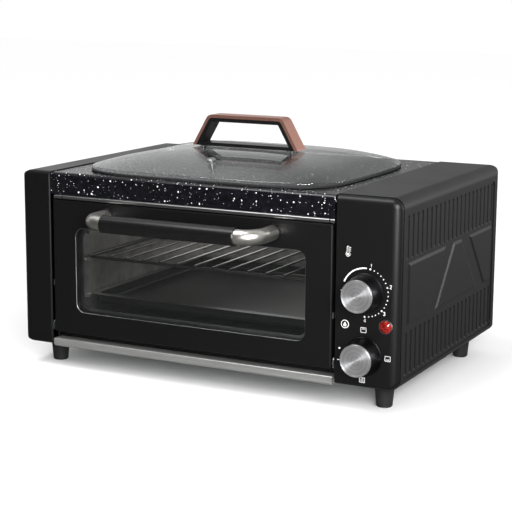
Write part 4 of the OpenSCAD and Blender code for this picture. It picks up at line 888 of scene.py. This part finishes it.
class TANDOOR_OT_prints(Operator):
    """Prints the dials on the control panel: an arc, dots, plain numerals and simple signs."""

    bl_idname = "tandoor.prints"
    bl_label = "Dial prints"

    DIGITS = {
        "1": [(0.12, 0.78), (0.36, 1.0), (0.36, 0.0)],
        "2": [(0.04, 0.76), (0.12, 0.93), (0.3, 1.0), (0.48, 0.93), (0.55, 0.75), (0.49, 0.56), (0.04, 0.0),
              (0.58, 0.0)],
        "3": [(0.05, 0.87), (0.16, 0.98), (0.32, 1.0), (0.48, 0.93), (0.54, 0.77), (0.45, 0.6), (0.28, 0.53),
              (0.48, 0.45), (0.58, 0.26), (0.48, 0.07), (0.3, 0.0), (0.12, 0.04), (0.03, 0.16)],
        "4": [(0.45, 0.0), (0.45, 1.0), (0.0, 0.3), (0.62, 0.3)],
    }

    def execute(self, context):
        """Draws each print's outline round its shaft, then raises them all."""
        sizes = context.scene.tandoor_sizes
        self.outlines = []
        x, _, top = JOINTS["temperature_turn"]["pos_m"]
        low = JOINTS["mode_turn"]["pos_m"][2]
        self.temperature(np.array([x, top]), sizes)
        self.modes(np.array([x, low]))
        self.put(sizes)
        return {"FINISHED"}

    @staticmethod
    def circle(centre, radius, start=0.0, stop=360.0, count=24):
        """Points at angles from the top, clockwise: centre + radius (sin a, cos a)."""
        angle = np.radians(np.linspace(start, stop, count))
        return np.asarray(centre) + radius * np.stack([np.sin(angle), np.cos(angle)], -1)

    def stroke(self, path, width=0.0007):
        """A ribbon: the path shifted both ways along its normals by half the width."""
        path = np.asarray(path, float)
        along = np.gradient(path, axis=0)
        along /= np.linalg.norm(along, axis=1, keepdims=True)
        side = np.stack([-along[:, 1], along[:, 0]], -1) * width / 2
        self.outlines.append(np.concatenate([path + side, (path - side)[::-1]]))

    def dot(self, centre, radius):
        self.outlines.append(self.circle(centre, radius, 0, 337.5, 16))

    def ring(self, centre, radius, width=0.0006):
        self.stroke(self.circle(centre, radius, 0, 180), width)
        self.stroke(self.circle(centre, radius, 180, 360), width)

    def temperature(self, centre, sizes):
        """Arc, dots and numerals round the thermostat knob, and a thermometer sign."""
        radius = sizes.dial_radius
        self.stroke(self.circle(centre, radius, -68, 3, 40), 0.0013)
        self.stroke(centre + np.array([(-radius - 0.0016, 0), (-radius + 0.0014, 0)]), 0.0007)
        marks = {12: "1", 73: "2", 133: "3", 180: "4"}
        for angle in [*marks, *range(22, 73, 10), *range(83, 133, 10), *range(143, 180, 9)]:
            self.dot(self.circle(centre, radius, angle, angle, 1)[0], 0.0009 if angle in marks else 0.00056)
        for angle, digit in marks.items():
            shape = np.array(self.DIGITS[digit]) - (0.3, 0.5)
            middle = self.circle(centre, radius + 0.0036, angle, angle, 1)[0]
            self.stroke(middle + sizes.numeral_height * shape, 0.00052)
        sign = np.array([centre[0] - 0.0184, centre[1] + 0.0355])
        stem = np.concatenate([self.circle(sign + (0, 0.0066), 0.001, -90, 90, 9),
                               self.circle(sign, 0.0021, 28, 332, 20)])
        self.stroke(np.concatenate([stem, stem[:1]]), 0.0004)
        self.dot(sign, 0.0011)
        for height in (0.0032, 0.0049, 0.0066):
            self.stroke(sign + np.array([(0.0018, height), (0.003, height)]), 0.0004)

    def modes(self, centre):
        """A flame in a ring over the selector, and a small framed sign at each of its places."""
        flame = centre + (-0.0203, 0.0293)
        self.ring(flame, 0.0038, 0.0006)
        t = np.linspace(0, 2 * math.pi, 20, endpoint=False)
        drop = np.stack([0.0016 * np.sin(t) * (1 - np.cos(t)) / 1.3, -0.0024 * np.cos(t) - 0.0001], -1)
        self.outlines.append(flame - drop)
        for x, z, bars in ((-0.001, 0.0256, 1), (0.0243, 0.0003, 2), (-0.0015, -0.0237, 3)):
            self.frame(centre + (x, z), bars)
        self.dot(centre + (-0.0256, 0.0049), 0.0009)
        self.stroke(centre + np.array([(-0.0278, -0.0066), (-0.0249, -0.0066)]), 0.0007)

    def frame(self, centre, bars):
        """A rounded frame with heating lines: above, below or both."""
        half = np.array((0.0027, 0.0024))
        corners = np.array([(-1, -1), (1, -1), (1, 1), (-1, 1)])
        for i, corner in enumerate(corners):
            after = corners[(i + 1) % 4]
            run = centre + np.linspace(corner * half, after * half, 3)
            self.stroke(run, 0.0004)
        wave = np.linspace(-1, 1, 13)
        for height in ((0.35,), (-0.35,), (0.35, -0.35))[bars - 1]:
            line = np.stack([wave * 0.0017, height * 0.0028 + 0.0004 * np.sin(wave * 9)], -1)
            self.stroke(centre + line, 0.00036)

    def put(self, sizes):
        """Lifts each outline off the panel's front as a slab as thick as the ink."""
        front = PANEL_LOW.y
        points, faces, count = [], [], 0
        for line in self.outlines:
            x, z = line[:, 0], line[:, 1]
            if (x * np.roll(z, -1) - np.roll(x, -1) * z).sum() < 0:
                line = line[::-1]
                x, z = line[:, 0], line[:, 1]
            n = len(line)
            y = np.concatenate([np.full(n, front - sizes.ink_thickness), np.full(n, front)])
            points.append(np.column_stack([np.tile(x, 2), y, np.tile(z, 2)]))
            a, b = np.arange(n), (np.arange(n) + 1) % n
            faces.append((a + count).tolist())
            faces.append((a[::-1] + n + count).tolist())
            faces += (np.stack([b, a, a + n, b + n], -1) + count).tolist()
            count += 2 * n
        piece = put_mesh("dial_print", np.concatenate(points), faces, screen_ink, "body", None, 30)


class TANDOOR_PT_panel(Panel):
    """Lists the steps that finish the tandoor."""

    bl_idname = "TANDOOR_PT_panel"
    bl_label = "Electric Tandoor"
    bl_space_type = "VIEW_3D"
    bl_region_type = "UI"
    bl_category = "Tandoor"

    def draw(self, context):
        for operator in STEPS:
            self.layout.operator(operator.bl_idname)
        for group in (context.scene.tandoor_sizes, context.scene.tandoor_light):
            box = self.layout.box()
            for name in group.__annotations__:
                box.prop(group, name)


STEPS = (TANDOOR_OT_stage, TANDOOR_OT_finishes, TANDOOR_OT_knobs, TANDOOR_OT_lid, TANDOOR_OT_panel_cap,
         TANDOOR_OT_window, TANDOOR_OT_prints)
CLASSES = (TandoorSizes, TandoorLight, *STEPS, TANDOOR_PT_panel)


def register():
    for cls in CLASSES:
        bpy.utils.register_class(cls)
    bpy.types.Scene.tandoor_sizes = PointerProperty(type=TandoorSizes)
    bpy.types.Scene.tandoor_light = PointerProperty(type=TandoorLight)


def unregister():
    del bpy.types.Scene.tandoor_light
    del bpy.types.Scene.tandoor_sizes
    for cls in reversed(CLASSES):
        bpy.utils.unregister_class(cls)


def main():
    register()
    bpy.ops.tandoor.stage()
    bpy.ops.tandoor.finishes()
    bpy.ops.tandoor.knobs()
    bpy.ops.tandoor.lid()
    bpy.ops.tandoor.panel_cap()
    bpy.ops.tandoor.window()
    bpy.ops.tandoor.prints()


if __name__ == "__main__":
    main()
